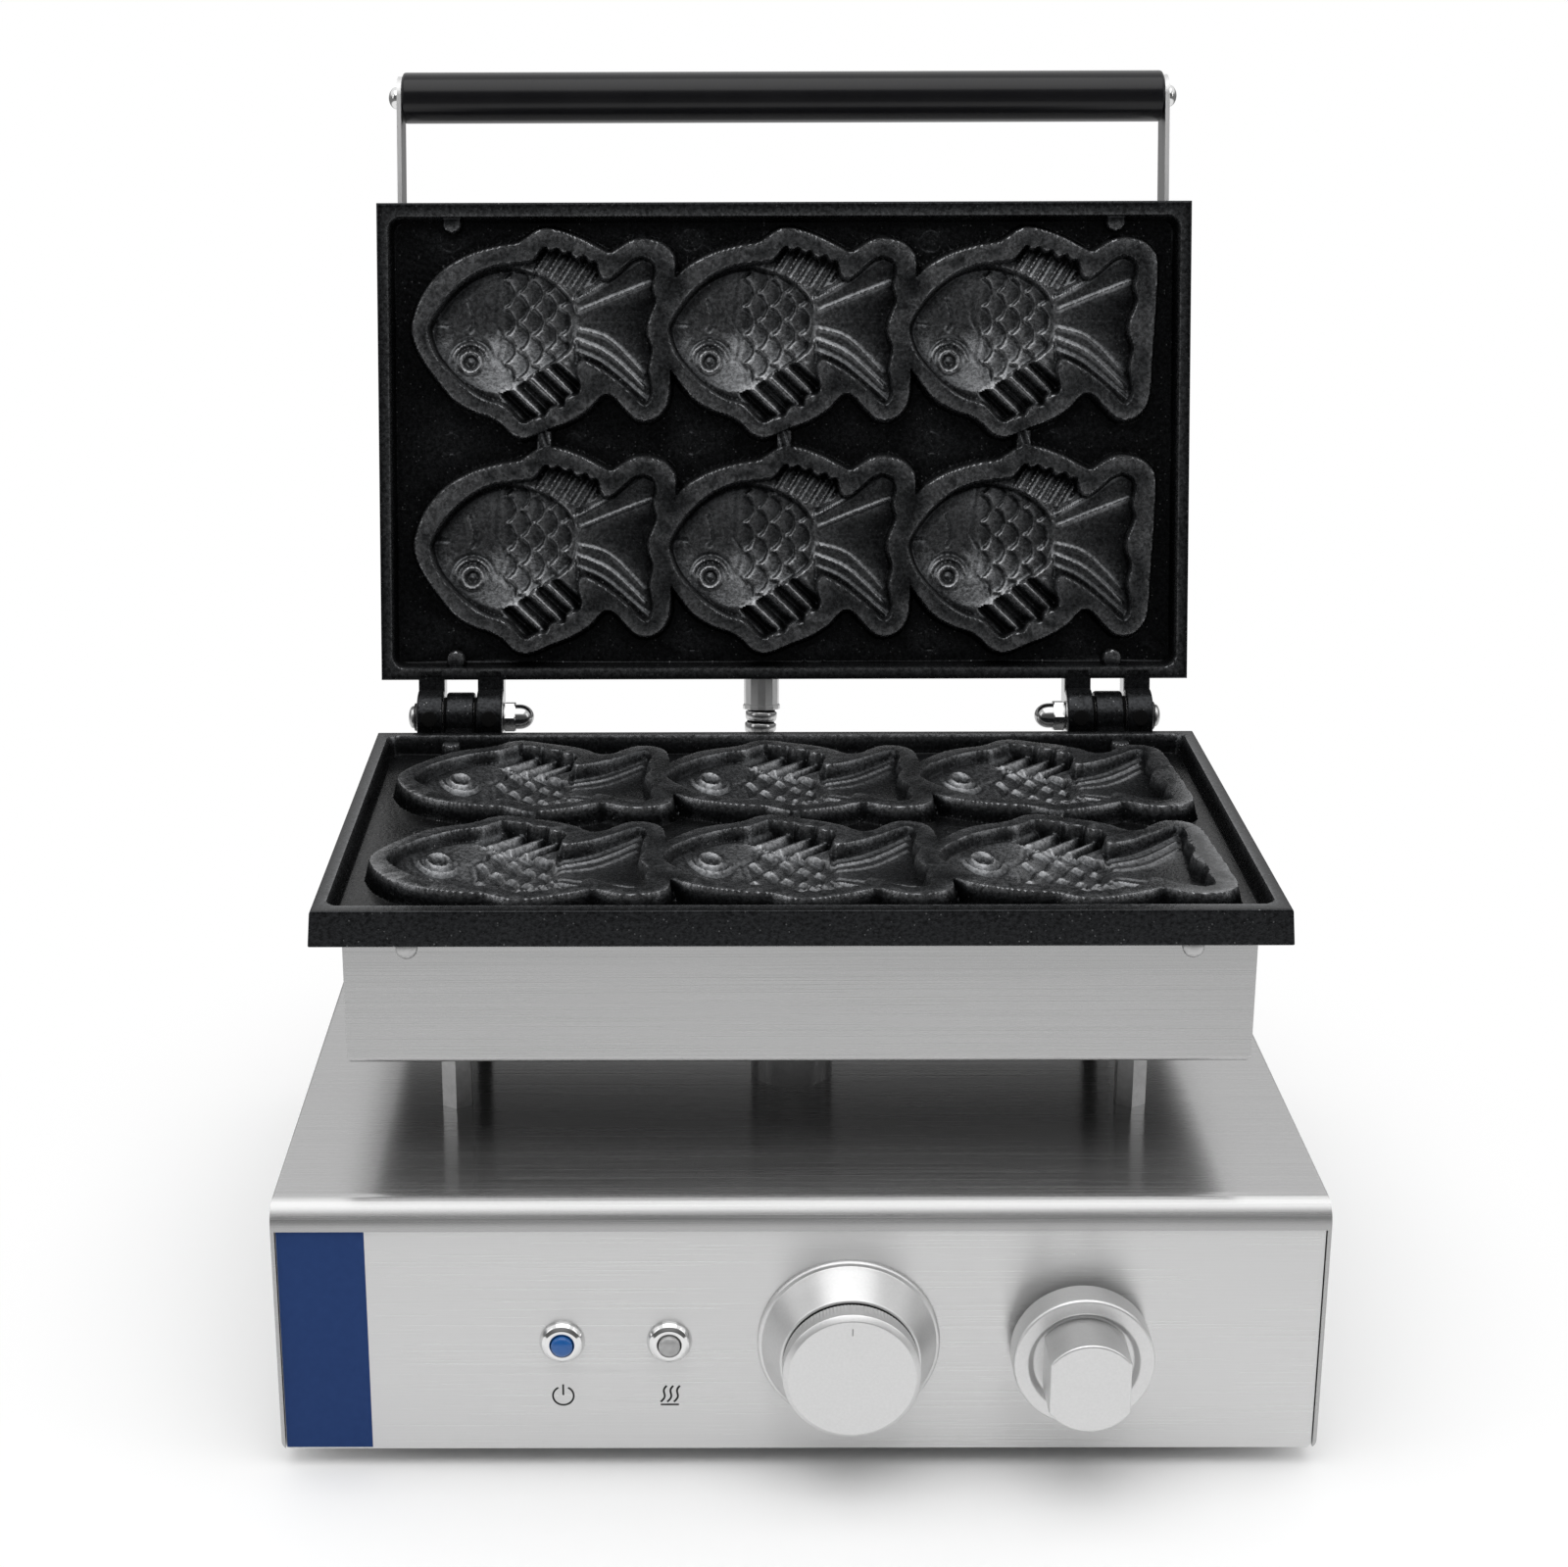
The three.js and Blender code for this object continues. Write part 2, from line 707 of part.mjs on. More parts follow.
function timerKnob() {
  const rear = panelFace - timerBezelHeight - timerKnobGap;
  const front = rear - timerKnobLength;
  const hub = panelFace - bushReach - overrun;
  return revolve([
    [0, front],
    [timerKnobFaceRadius, front],
    [timerKnobRadius - fitGap, front + timerKnobChamfer],
    [timerKnobRadius, rear],
    [timerHubRadius, rear],
    [timerHubRadius, hub],
    [shaftRadius, hub],
    [shaftRadius, knobShaftEnd],
    [0, knobShaftEnd],
  ], knobSides);
}

function thermostatKnob() {
  const rear = -thermostatSkirtGap;
  const front = rear - thermostatSkirtLength;
  const dish = front + thermostatDishDepth;
  const skirt = revolve([
    [0, dish],
    [thermostatRingRadius - thermostatDishTaper, dish],
    [thermostatRingRadius, front],
    [thermostatSkirtRadius - thermostatSkirtTaper, front],
    [thermostatSkirtRadius, front + thermostatSkirtTaper],
    [thermostatSkirtRadius - thermostatSkirtTaper, rear],
    [shaftRadius, rear],
    [shaftRadius, knobShaftEnd],
    [0, knobShaftEnd],
  ], knobSides);
  const flat = Math.acos(thermostatGripWidth / 2 / thermostatGripRadius);
  const outline = new THREE.Shape();
  outline.absarc(0, 0, thermostatGripRadius, flat, Math.PI - flat, false);
  outline.absarc(0, 0, thermostatGripRadius, Math.PI + flat, 2 * Math.PI - flat, false);
  return joined(skirt, frontPrism(outline, -thermostatGripReach, dish + seam, thermostatGripSteps));
}

part('timer_bezel', timerBezel(), satinKnob(), machine, [timerX, panelFace, controlZ]);
part('timer_body', controlBody(timerBodyWidth, timerBodyDepth), greyPlastic(), machine,
  [timerX, 0, controlZ]);
part('timer_knob', timerKnob(), satinKnob(), machine, [timerX, 0, controlZ]);
part('thermostat_body', controlBody(thermostatBodyWidth, thermostatBodyDepth), zincSteel(), machine,
  [thermostatX, 0, controlZ]);
part('thermostat_knob', thermostatKnob(), satinKnob(), machine, [thermostatX, 0, controlZ]);

// Terminal block on the pan, with a barrier between the poles
function terminalBlock() {
  const pole = terminalWidth / terminalPoles;
  const barrier = pole * terminalBarrierShare;
  const step = terminalHeight * terminalStepShare;
  const grooves = [];
  for (let i = 0; i < terminalPoles; i += 1) {
    const x = -terminalWidth / 2 + i * pole;
    grooves.push(box([x + barrier / 2, x + pole - barrier / 2], [-terminalDepth, terminalDepth / 4],
      [step, terminalHeight + overrun]));
  }
  const body = box([-terminalWidth / 2, terminalWidth / 2], [-terminalDepth / 2, terminalDepth / 2],
    [0, terminalHeight]);
  return cut(body, ...grooves);
}

// Cable gland in the rear wall: a bush through the sheet, a hex nut and a domed cap with an open bore
function cableGland() {
  const inside = baseDepth - sheet - glandInside;
  const outside = baseDepth + fitGap;
  return revolve([
    [glandBoreRadius, inside],
    [glandBodyRadius, inside],
    [glandBodyRadius, outside],
    [glandNutRadius, outside],
    [glandNutRadius, outside + glandFlange],
    [glandNutRadius - glandLip, outside + glandFlange],
    [glandBodyRadius - glandLip, outside + glandFlange + glandDome],
    [glandBoreRadius, outside + glandFlange + glandDome],
    [glandBoreRadius, inside],
  ], smallSides);
}

part('terminal_block', terminalBlock(), ceramic(), machine, [terminalX, terminalY, panFloor + panWall]);
part('cable_gland', cableGland(), blackPlastic(), machine, [glandX, 0, baseBottom + glandHeight]);

// Four hex standoffs and the tube that brings the wires up to the lower element
function standoff() {
  const radius = standoffFlats / 2 / Math.cos(30 * degree);
  return rodZ(radius, baseTop, casingBottomZ, hexSides);
}

for (const [row, y] of [['front', standoffFrontY], ['rear', standoffRearY]]) {
  for (const [side, sign] of [['left', -1], ['right', 1]]) {
    part(`standoff_${row}_${side}`, standoff(), zincSteel(), machine, [sign * standoffX, y, 0]);
  }
}

function wirePost() {
  const bore = rodZ(postRadius - postWall, baseTop - overrun, casingBottomZ + overrun, postSides);
  return cut(rodZ(postRadius, baseTop, casingBottomZ, postSides), bore);
}

part('wire_post', wirePost(), satinSteel(), machine, [0, postY, 0]);

// Outlines of the fish: real sizes about the middle of the fish, its back towards +Y
function sized([x, y]) {
  return new THREE.Vector2(x * fishLength, y * fishSpan);
}

function openCurve(shares, steps) {
  return new THREE.SplineCurve(shares.map(sized)).getPoints(steps);
}

function closedCurve(shares, steps) {
  const points = shares.map(sized).map((point) => new THREE.Vector3(point.x, point.y, 0));
  const curve = new THREE.CatmullRomCurve3(points, true);
  return curve.getSpacedPoints(steps).slice(0, -1).map((point) => new THREE.Vector2(point.x, point.y));
}

function topFin() {
  const start = sized(topFinStartShare);
  const end = sized(topFinEndShare);
  const outwards = new THREE.Vector2(start.y - end.y, end.x - start.x).normalize();
  const points = [];
  for (let i = 0; i <= 2 * topLobes; i += 1) {
    const share = i / (2 * topLobes);
    const arch = 4 * share * (1 - share) * topFinArchShare * fishSpan;
    const lobe = i % 2 ? topFinLobeShare * fishSpan : 0;
    points.push(start.clone().lerp(end, share).addScaledVector(outwards, arch + lobe));
  }
  return points;
}

function bottomFin() {
  const points = [];
  for (let i = 0; i < bottomLobes; i += 1) {
    const root = sized(bottomFinStartShare).addScaledVector(sized(bottomFinStepShare), i);
    points.push(root, root.clone().add(sized(bottomFinLobeShare)));
  }
  return points;
}

const fishOutline = [
  ...openCurve(backShares, backSteps),
  ...topFin(),
  ...tailShares.map(sized),
  ...bottomFin(),
  ...openCurve(bellyShares, bellySteps),
];

// One mould: the raised cup, the cavity with its fins, and the bowl for the body
function fishCup() {
  const rim = closedCurve(cupShares, cupSteps);
  return loft([ringAt(rim, 0), ringAt(offset(rim, cupDraft), -recessDepth - seam)]);
}

function fishCavity() {
  const floor = offset(fishOutline, -finDraft);
  return loft([ringAt(fishOutline, overrun), ringAt(fishOutline, 0), ringAt(floor, -finDepth)]);
}

function fishBowl() {
  const outline = closedCurve(bodyShares, bodySteps);
  const middle = sized(bodyMiddleShare);
  const rings = [ringAt(outline, seam - finDepth)];
  bowlScaleShares.forEach((scale, i) => {
    const depth = finDepth + bowlDepthShares[i] * (bodyDepth - finDepth);
    const ring = outline.map((point) => point.clone().sub(middle).multiplyScalar(scale).add(middle));
    rings.push(ringAt(ring, -depth));
  });
  return loft(rings);
}

// The eye: a ring groove round a pupil, square to the bowl's slope
function fishEye() {
  const slope = eyeRadius + overrun;
  const ring = revolve([
    [eyeRadius, slope],
    [eyeRadius - eyeGroove / 3, -eyeRelief],
    [eyeRadius - eyeGroove, -eyeRelief],
    [eyeRadius - eyeGroove, slope],
    [eyeRadius, slope],
  ], screwSides);
  const pupil = rodY(pupilRadius, -eyeRelief, slope, hexSides);
  const place = sized(eyeShare);
  const uphill = place.clone().sub(sized(bodyMiddleShare)).normalize();
  const lean = uphill.multiplyScalar(-Math.sin(eyeTilt));
  const upright = new THREE.Vector3(lean.x, lean.y, Math.cos(eyeTilt));
  const turn = new THREE.Quaternion().setFromUnitVectors(new THREE.Vector3(0, 1, 0), upright);
  return [ring, pupil].map((tool) => tool.applyQuaternion(turn).translate(place.x, place.y, -eyeLevel));
}

// One rib on the tail's floor, a low ridge with a triangular section
function tailRib([from, to]) {
  const [start, end] = [sized(from), sized(to)];
  const across = end.clone().sub(start).normalize().rotateAround(new THREE.Vector2(), Math.PI / 2);
  const low = -finDepth - seam;
  const points = [start, end].flatMap((point) => [-1, 1].map((side) => {
    const edge = point.clone().addScaledVector(across, side * tailRibWidth / 2);
    return new THREE.Vector3(edge.x, edge.y, low);
  }));
  for (const point of [start, end]) {
    points.push(new THREE.Vector3(point.x, point.y, tailRibHeight - finDepth));
  }
  return outward(meshOf(points, [0, 2, 3, 0, 3, 1, 0, 4, 5, 0, 5, 2, 1, 3, 5, 1, 5, 4, 0, 1, 4, 2, 5, 3]));
}

function fishBump() {
  const outline = closedCurve(bodyShares, bumpSteps);
  const root = ringAt(offset(outline, bumpWall), seam - plateThickness);
  return loft([root, ringAt(offset(outline, bumpWall - bumpDraft), -bumpDepth)]);
}

// Cast plate, mating face up at z 0, its rear edge at y 0; fins towards the front
function eachFish(shape) {
  const copies = [];
  for (let row = 0; row < fishRows; row += 1) {
    for (let column = 0; column < fishColumns; column += 1) {
      const x = (column - (fishColumns - 1) / 2) * columnPitch;
      copies.push(outward(shape.clone().scale(1, -1, 1)).translate(x, -firstRow - row * rowPitch, 0));
    }
  }
  return copies;
}

function hingeEye(centreZ, radius) {
  const root = new THREE.Vector2(0, -plateThickness);
  const toRoot = root.clone().sub(new THREE.Vector2(hingeOffset, centreZ));
  const tangent = toRoot.angle() + Math.acos(radius / toRoot.length());
  const meeting = 3 * Math.PI + Math.asin(centreZ / radius);
  const shape = new THREE.Shape();
  shape.moveTo(-overrun, 0);
  shape.lineTo(-overrun, -plateThickness + seam);
  shape.lineTo(0, -plateThickness + seam);
  shape.absarc(hingeOffset, centreZ, radius, tangent, meeting, false);
  return shape;
}

function plate(eyes, centreZ, radius) {
  const half = plateWidth / 2;
  const ringOf = (grow, z) => ringAt([
    new THREE.Vector2(-half - grow, -plateDepth - grow),
    new THREE.Vector2(half + grow, -plateDepth - grow),
    new THREE.Vector2(half + grow, grow),
    new THREE.Vector2(-half - grow, grow),
  ], z);
  const pocketOf = (inset, z) => ringAt(roundedRing(
    [-half + rimSide + inset, half - rimSide - inset],
    [-plateDepth + rimFront + inset, -rimSide - inset],
    recessRadius, recessSteps), z);
  const block = loft([ringOf(0, 0), ringOf(plateDraft, -plateThickness)]);
  const pocket = loft([pocketOf(0, overrun), pocketOf(0, 0), pocketOf(recessDraft, -recessDepth)]);
  const additions = [...eachFish(fishCup()), ...eachFish(fishBump())];
  const bores = [];
  for (const sign of [-1, 1]) {
    for (const y of [-bossInset, bossInset - plateDepth]) {
      additions.push(rodZ(bossRadius, -recessDepth - seam, -bossDrop).translate(sign * bossX, y, 0));
    }
    for (const [wall, inwards] of [[casingRear, 1], [casingFront, -1]]) {
      const face = -wall - inwards * (casingWall + fitGap);
      const back = face - inwards * tabThickness;
      const x = [sign * tabX - tabWidth / 2, sign * tabX + tabWidth / 2];
      const y = [Math.min(face, back), Math.max(face, back)];
      additions.push(box(x, y, [-plateThickness - tabHeight, -plateThickness + seam]));
      const bore = rodY(screwShankRadius + fitGap, y[0] - overrun, y[1] + overrun, screwSides);
      bores.push(bore.translate(sign * tabX, 0, -plateUnderside - casingScrewDrop));
    }
  }
  for (let column = 0; column < fishColumns; column += 1) {
    const x = (column - (fishColumns - 1) / 2) * columnPitch;
    const y = -firstRow - rowPitch / 2;
    additions.push(box([x - webWidth / 2, x + webWidth / 2], [y - webLength / 2, y + webLength / 2],
      [-recessDepth - seam, -webDrop]));
  }
  for (const [from, to] of eyes) {
    additions.push(sidePrism(hingeEye(centreZ, radius), from, to, eyeSteps));
    bores.push(rodX(hingeBore, from - overrun, to + overrun).translate(0, hingeOffset, centreZ));
  }
  const cast = joined(cut(block, pocket), ...additions);
  const hollow = cut(cast, ...eachFish(fishCavity()), ...eachFish(fishBowl()), ...bores);
  const ribbed = joined(hollow, ...tailRibShares.flatMap((ends) => eachFish(tailRib(ends))));
  return cut(ribbed, ...fishEye().flatMap((tool) => eachFish(tool)));
}

// Sheet casing: a bent tray that hangs under the plate
function casing(...holes) {
  const x = [-casingWidth / 2, casingWidth / 2];
  const y = [-casingFront, -casingRear];
  const z = [-casingClosed, -plateUnderside];
  const inset = ([low, high]) => [low + casingWall, high - casingWall];
  const raised = [z[0] + casingWall, z[1] + overrun];
  const outer = common(
    frontPrism(roundedShape(x, z, casingBend, 0), ...y),
    sidePrism(roundedShape(y, z, casingBend, 0), ...x),
  );
  const bend = casingBend - casingWall;
  const inner = common(
    frontPrism(roundedShape(inset(x), raised, bend, 0), ...inset(y)),
    sidePrism(roundedShape(inset(y), raised, bend, 0), ...inset(x)),
  );
  const screwHoles = casingScrewPlaces().map(([sx, sy, outwards]) => {
    const hole = rodY(screwShankRadius + fitGap, -casingWall - overrun, casingWall + overrun, screwSides);
    return hole.translate(sx, sy, -plateUnderside - casingScrewDrop);
  });
  return cut(outer, inner, ...screwHoles, ...holes);
}

function casingScrewPlaces() {
  const places = [];
  for (const sign of [-1, 1]) {
    places.push([sign * tabX, -casingFront, -1], [sign * tabX, -casingRear, 1]);
  }
  return places;
}

// A domed screw along +Y: head from y 0 outwards, shank the other way
function domedScrew(headRadius, head, shankRadius, shank) {
  return revolve([
    [0, -shank],
    [shankRadius, -shank],
    [shankRadius, 0],
    [headRadius, 0],
    [headRadius, head / 2],
    [headRadius / 2, head],
    [0, head],
  ], screwSides);
}

// Heating element: a hairpin under both rows of fish, held by a bar on two studs
function element() {
  const rows = [-firstRow, -firstRow - rowPitch];
  const z = -elementMiddle;
  const bend = elementX - elementBend;
  const point = (x, y) => new THREE.Vector3(x, y, z);
  const path = new THREE.CurvePath();
  path.add(new THREE.LineCurve3(point(-elementX, rows[0]), point(bend, rows[0])));
  path.add(new THREE.QuadraticBezierCurve3(point(bend, rows[0]), point(elementX, rows[0]),
    point(elementX, rows[0] - elementBend)));
  path.add(new THREE.LineCurve3(point(elementX, rows[0] - elementBend),
    point(elementX, rows[1] + elementBend)));
  path.add(new THREE.QuadraticBezierCurve3(point(elementX, rows[1] + elementBend),
    point(elementX, rows[1]), point(bend, rows[1])));
  path.add(new THREE.LineCurve3(point(bend, rows[1]), point(-elementX, rows[1])));
  const section = new THREE.Shape();
  for (let i = 0; i < elementSides; i += 1) {
    const angle = i * 2 * Math.PI / elementSides;
    const corner = [elementRadius * Math.cos(angle), elementRadius * Math.sin(angle)];
    if (i === 0) {
      section.moveTo(...corner);
    } else {
      section.lineTo(...corner);
    }
  }
  section.closePath();
  return new THREE.ExtrudeGeometry(section, { steps: elementSteps, extrudePath: path, bevelEnabled: false });
}

function elementBar() {
  const low = -firstRow - rowPitch - elementBarOverhang;
  const high = -firstRow + elementBarOverhang;
  const x = [elementBarX - elementBarWidth / 2, elementBarX + elementBarWidth / 2];
  const bar = box(x, [low, high], [-elementBarTop - elementBarThickness, -elementBarTop]);
  const middle = (low + high) / 2;
  const stud = rodZ(elementStudRadius, -elementBarTop - seam, -plateUnderside, screwSides);
  const places = [-1, 1].map((sign) => middle + sign * elementStudSpacing);
  return joined(bar, ...places.map((y) => stud.clone().translate(elementBarX, y, 0)));
}

// One heated mould: plate, casing, element, bar and screws; the upper one is the mirror image
function mould(prefix, parent, plateGeometry, casingGeometry, flipped) {
  const facing = (geometry) => (flipped ? mirrored(geometry) : geometry);
  part(`${prefix}_plate`, facing(plateGeometry), castAluminium(), parent);
  part(`${prefix}_casing`, facing(casingGeometry), satinSteel(), parent);
  part(`${prefix}_element`, facing(element()), heaterSheath(), parent);
  part(`${prefix}_element_bar`, facing(elementBar()), zincSteel(), parent);
  const height = -(plateUnderside + casingScrewDrop) * (flipped ? -1 : 1);
  for (const [x, y, outwards] of casingScrewPlaces()) {
    const name = `${prefix}_screw_${outwards < 0 ? 'front' : 'rear'}_${x < 0 ? 'left' : 'right'}`;
    const geometry = domedScrew(casingScrewRadius, casingScrewHead, screwShankRadius, screwShankLength);
    const screw = part(name, geometry, zincSteel(), parent, [x, y + outwards * fitGap, height]);
    screw.rotation.x = outwards < 0 ? Math.PI : 0;
  }
}

const lugs = [-1, 1].map((sign) => [sign * hingeX - lugWidth / 2, sign * hingeX + lugWidth / 2]);
const ears = [-1, 1].flatMap((sign) => {
  const middle = sign * hingeX;
  const inner = earSpacing / 2;
  return [[middle - inner - earWidth, middle - inner], [middle + inner, middle + inner + earWidth]];
});

const lowerMould = new THREE.Group();
lowerMould.position.set(0, plateRearY, lowerMatingZ);
machine.add(lowerMould);
const wireHole = rodZ(postRadius - postWall, -casingClosed - overrun, -casingClosed + overrun, postSides)
  .translate(0, postY - plateRearY, 0);
mould('lower', lowerMould, plate(lugs, hingeRise, lugRadius), casing(wireHole), false);

// Lid: turns about the hinge bolts, drawn closed and swung open
const lid = new THREE.Group();
lid.position.set(0, hingeY, hingeZ);
lid.rotation.x = -openAngle;
machine.add(lid);
const upperMould = new THREE.Group();
upperMould.position.set(0, plateRearY - hingeY, upperMatingZ - hingeZ);
lid.add(upperMould);

const armHoles = [-1, 1].flatMap((sign) => armScrewPlaces.map((place) => {
  const hole = rodX(screwShankRadius + fitGap, -casingWall - overrun, casingWall + overrun, screwSides);
  return hole.translate(sign * casingWidth / 2, -place, -armHeight);
}));
const sleeveHole = rodY(sleeveNeckRadius + fitGap, -casingRear - casingWall - overrun, overrun - casingRear)
  .translate(conduitX, 0, -conduitHeight);
const upperPlate = plate(ears, matingGap - hingeRise, earRadius);
mould('upper', upperMould, upperPlate, casing(...armHoles, sleeveHole), true);

// Handle: two flat arms beside the casing carry the grip in front of the plate
function arm() {
  const half = armWidth / 2;
  const shape = new THREE.Shape();
  shape.moveTo(-armStart, -half);
  shape.lineTo(-armStart, half);
  shape.absarc(-gripPlace, 0, half, Math.PI / 2, 3 * Math.PI / 2, false);
  const hole = (radius, place) => rodX(radius + fitGap, -overrun, armThickness + overrun, screwSides)
    .translate(0, -place, 0);
  const holes = armScrewPlaces.map((place) => hole(screwShankRadius, place));
  return cut(sidePrism(shape, 0, armThickness, armTipSteps), ...holes, hole(gripShankRadius, gripPlace));
}

function grip() {
  const half = casingWidth / 2;
  const depth = gripShankLength + fitGap;
  return cut(
    rodX(gripRadius, -half, half, postSides),
    rodX(gripShankRadius + fitGap, -half - overrun, depth - half, screwSides),
    rodX(gripShankRadius + fitGap, half - depth, half + overrun, screwSides),
  );
}

part('handle_grip', grip(), blackPlastic(), upperMould, [0, -gripPlace, armHeight]);
for (const [side, sign] of [['left', -1], ['right', 1]]) {
  const face = casingWidth / 2 + fitGap;
  part(`${side}_arm`, arm(), satinSteel(), upperMould,
    [sign < 0 ? -face - armThickness : face, 0, armHeight]);
  const seat = sign * (face + armThickness + fitGap);
  const gripScrew = domedScrew(gripScrewRadius, gripScrewHead, gripShankRadius, gripShankLength);
  part(`${side}_grip_screw`, gripScrew, chrome(), upperMould, [seat, -gripPlace, armHeight])
    .rotation.z = -sign * Math.PI / 2;
  armScrewPlaces.forEach((place, i) => {
    const screw = domedScrew(armScrewRadius, armScrewHead, screwShankRadius, screwShankLength);
    part(`${side}_arm_screw_${i + 1}`, screw, zincSteel(), upperMould, [seat, -place, armHeight])
      .rotation.z = -sign * Math.PI / 2;
  });
}

// Hinge bolts with washers outside and acorn nuts inside, drawn along +X from the hinge's middle
function hingeBolt() {
  const outer = earSpacing / 2 + earWidth + 2 * fitGap + washerThickness;
  const inner = earSpacing / 2 + earWidth + fitGap + nutBoreDepth - fitGap;
  const bolt = domedScrew(boltHeadRadius, boltHead, boltRadius, outer + inner);
  return bolt.rotateZ(-Math.PI / 2).translate(outer, 0, 0);
}

function hingeWasher() {
  const from = earSpacing / 2 + earWidth + fitGap;
  return cut(
    rodX(washerRadius, from, from + washerThickness),
    rodX(hingeBore, from - overrun, from + washerThickness + overrun),
  );
}

function acornNut() {
  const face = -earSpacing / 2 - earWidth - fitGap;
  const radius = nutFlats / 2 / Math.cos(30 * degree);
  const domeShares = [[0, 1], [0.5, 0.9], [0.87, 0.6], [1, 0.25], [1, 0]];
  const dome = domeShares.map(([across, along]) => [across * nutDomeRadius, along * nutDome]);
  const cap = revolve([...dome, [nutDomeRadius, -seam], [0, -seam]], smallSides);
  cap.rotateZ(Math.PI / 2).translate(face - nutHex, 0, 0);
  return cut(
    joined(rodX(radius, face - nutHex, face, hexSides), cap),
    rodX(hingeBore, face - nutBoreDepth - fitGap, face + overrun),
  );
}

for (const [side, sign] of [['left', -1], ['right', 1]]) {
  const pieces = [
    ['bolt', hingeBolt(), zincSteel()],
    ['washer', hingeWasher(), blackPlastic()],
    ['acorn_nut', acornNut(), chrome()],
  ];
  for (const [name, geometry, look] of pieces) {
    const mesh = part(`${side}_hinge_${name}`, geometry, look, lid, [sign * hingeX, 0, 0]);
    mesh.rotation.z = sign < 0 ? Math.PI : 0;
  }
}

// Sleeve on the upper casing's rear wall and fitting on the base, with the ribbed conduit between them
function conduitSleeve() {
  return revolve([
    [conduitBore, -casingWall - fitGap],
    [sleeveNeckRadius, -casingWall - fitGap],
    [sleeveNeckRadius, fitGap],
    [sleeveFlangeRadius, fitGap],
    [sleeveFlangeRadius, sleeveFlange],
    [sleeveRadius, sleeveFlange],
    [sleeveRadius, sleeveLength],
    [conduitBore, sleeveLength],
    [conduitBore, -casingWall - fitGap],
  ], smallSides);
}

function conduitFitting() {
  return revolve([
    [conduitBore, -fittingNeck],
    [fittingNeckRadius, -fittingNeck],
    [fittingNeckRadius, fitGap],
    [fittingNutRadius, fitGap],
    [fittingNutRadius, fittingNut],
    [fittingRadius, fittingNut],
    [fittingRadius, fittingHeight],
    [conduitBore, fittingHeight],
    [conduitBore, -fittingNeck],
  ], smallSides).rotateX(Math.PI / 2);
}

part('conduit_upper_fitting', conduitSleeve(), satinSteel(), upperMould,
  [conduitX, -casingRear, conduitHeight]);
part('conduit_lower_fitting', conduitFitting(), satinSteel(), machine, [fittingX, fittingY, baseTop]);

// Where a point of the lid, given from the upper mould, stands when the lid is open
function opened(x, y, z) {
  const point = new THREE.Vector3(x, y, z).add(upperMould.position);
  return point.applyAxisAngle(new THREE.Vector3(1, 0, 0), -openAngle).add(lid.position);
}

function conduitCurve() {
  const start = opened(conduitX, -casingRear + sleeveLength + fitGap, conduitHeight);
  const straight = 2 * conduitCrestRadius;
  const afterStart = opened(conduitX, -casingRear + sleeveLength + fitGap + straight, conduitHeight);
  const end = new THREE.Vector3(fittingX, fittingY, fittingEndZ);
  const beforeEnd = end.clone().add(new THREE.Vector3(0, 0, straight));
  const route = conduitRoute.map((point) => new THREE.Vector3(...point).add(end));
  const middle = [afterStart, ...route, beforeEnd];
  const path = new THREE.CurvePath();
  path.add(new THREE.LineCurve3(start, afterStart));
  path.add(new THREE.CatmullRomCurve3(middle));
  path.add(new THREE.LineCurve3(beforeEnd, end));
  return path;
}

// Ribbed hose: outside rings at crests and roots, a plain bore inside, and a flat ring at each end
function ribbedHose(path) {
  const ribs = Math.round(path.getLength() / conduitPitch);
  const outer = [];
  const inner = [];
  const points = [];
  let side = new THREE.Vector3(1, 0, 0);
  for (let i = 0; i <= 2 * ribs; i += 1) {
    const share = i / (2 * ribs);
    const middle = path.getPointAt(share);
    const along = path.getTangentAt(share);
    side = side.clone().addScaledVector(along, -side.dot(along)).normalize();
    const up = new THREE.Vector3().crossVectors(along, side);
    const ring = (radius) => {
      const first = points.length;
      for (let k = 0; k < conduitSides; k += 1) {
        const angle = k * 2 * Math.PI / conduitSides;
        points.push(middle.clone()
          .addScaledVector(side, radius * Math.cos(angle))
          .addScaledVector(up, radius * Math.sin(angle)));
      }
      return first;
    };
    outer.push(ring(i % 2 ? conduitCrestRadius : conduitRootRadius));
    if (i % (2 * conduitBoreEvery) === 0 || i === 2 * ribs) {
      inner.push(ring(conduitBore));
    }
  }
  const index = [];
  const band = (first, second) => {
    for (let k = 0; k < conduitSides; k += 1) {
      const next = (k + 1) % conduitSides;
      index.push(first + k, first + next, second + next, first + k, second + next, second + k);
    }
  };
  outer.slice(1).forEach((ring, i) => band(outer[i], ring));
  inner.slice(1).forEach((ring, i) => band(ring, inner[i]));
  band(inner[0], outer[0]);
  band(outer[outer.length - 1], inner[inner.length - 1]);
  return outward(meshOf(points, index));
}

part('flexible_conduit', ribbedHose(conduitCurve()), zincSteel(), machine);

// The origin goes under the middle of the whole machine
const bounds = new THREE.Box3().setFromObject(machine, true);
const middle = bounds.getCenter(new THREE.Vector3());
machine.position.set(-middle.x, -middle.y, -bounds.min.z);

export default machine;
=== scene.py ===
"""Looks of the fish waffle maker: relief plates, round metalwork, brushed steel, studio and camera."""

from math import acos, asin, atan2, cos, pi, radians, sin

import bmesh
import bpy
import numpy as np
from mathutils import Matrix, Vector


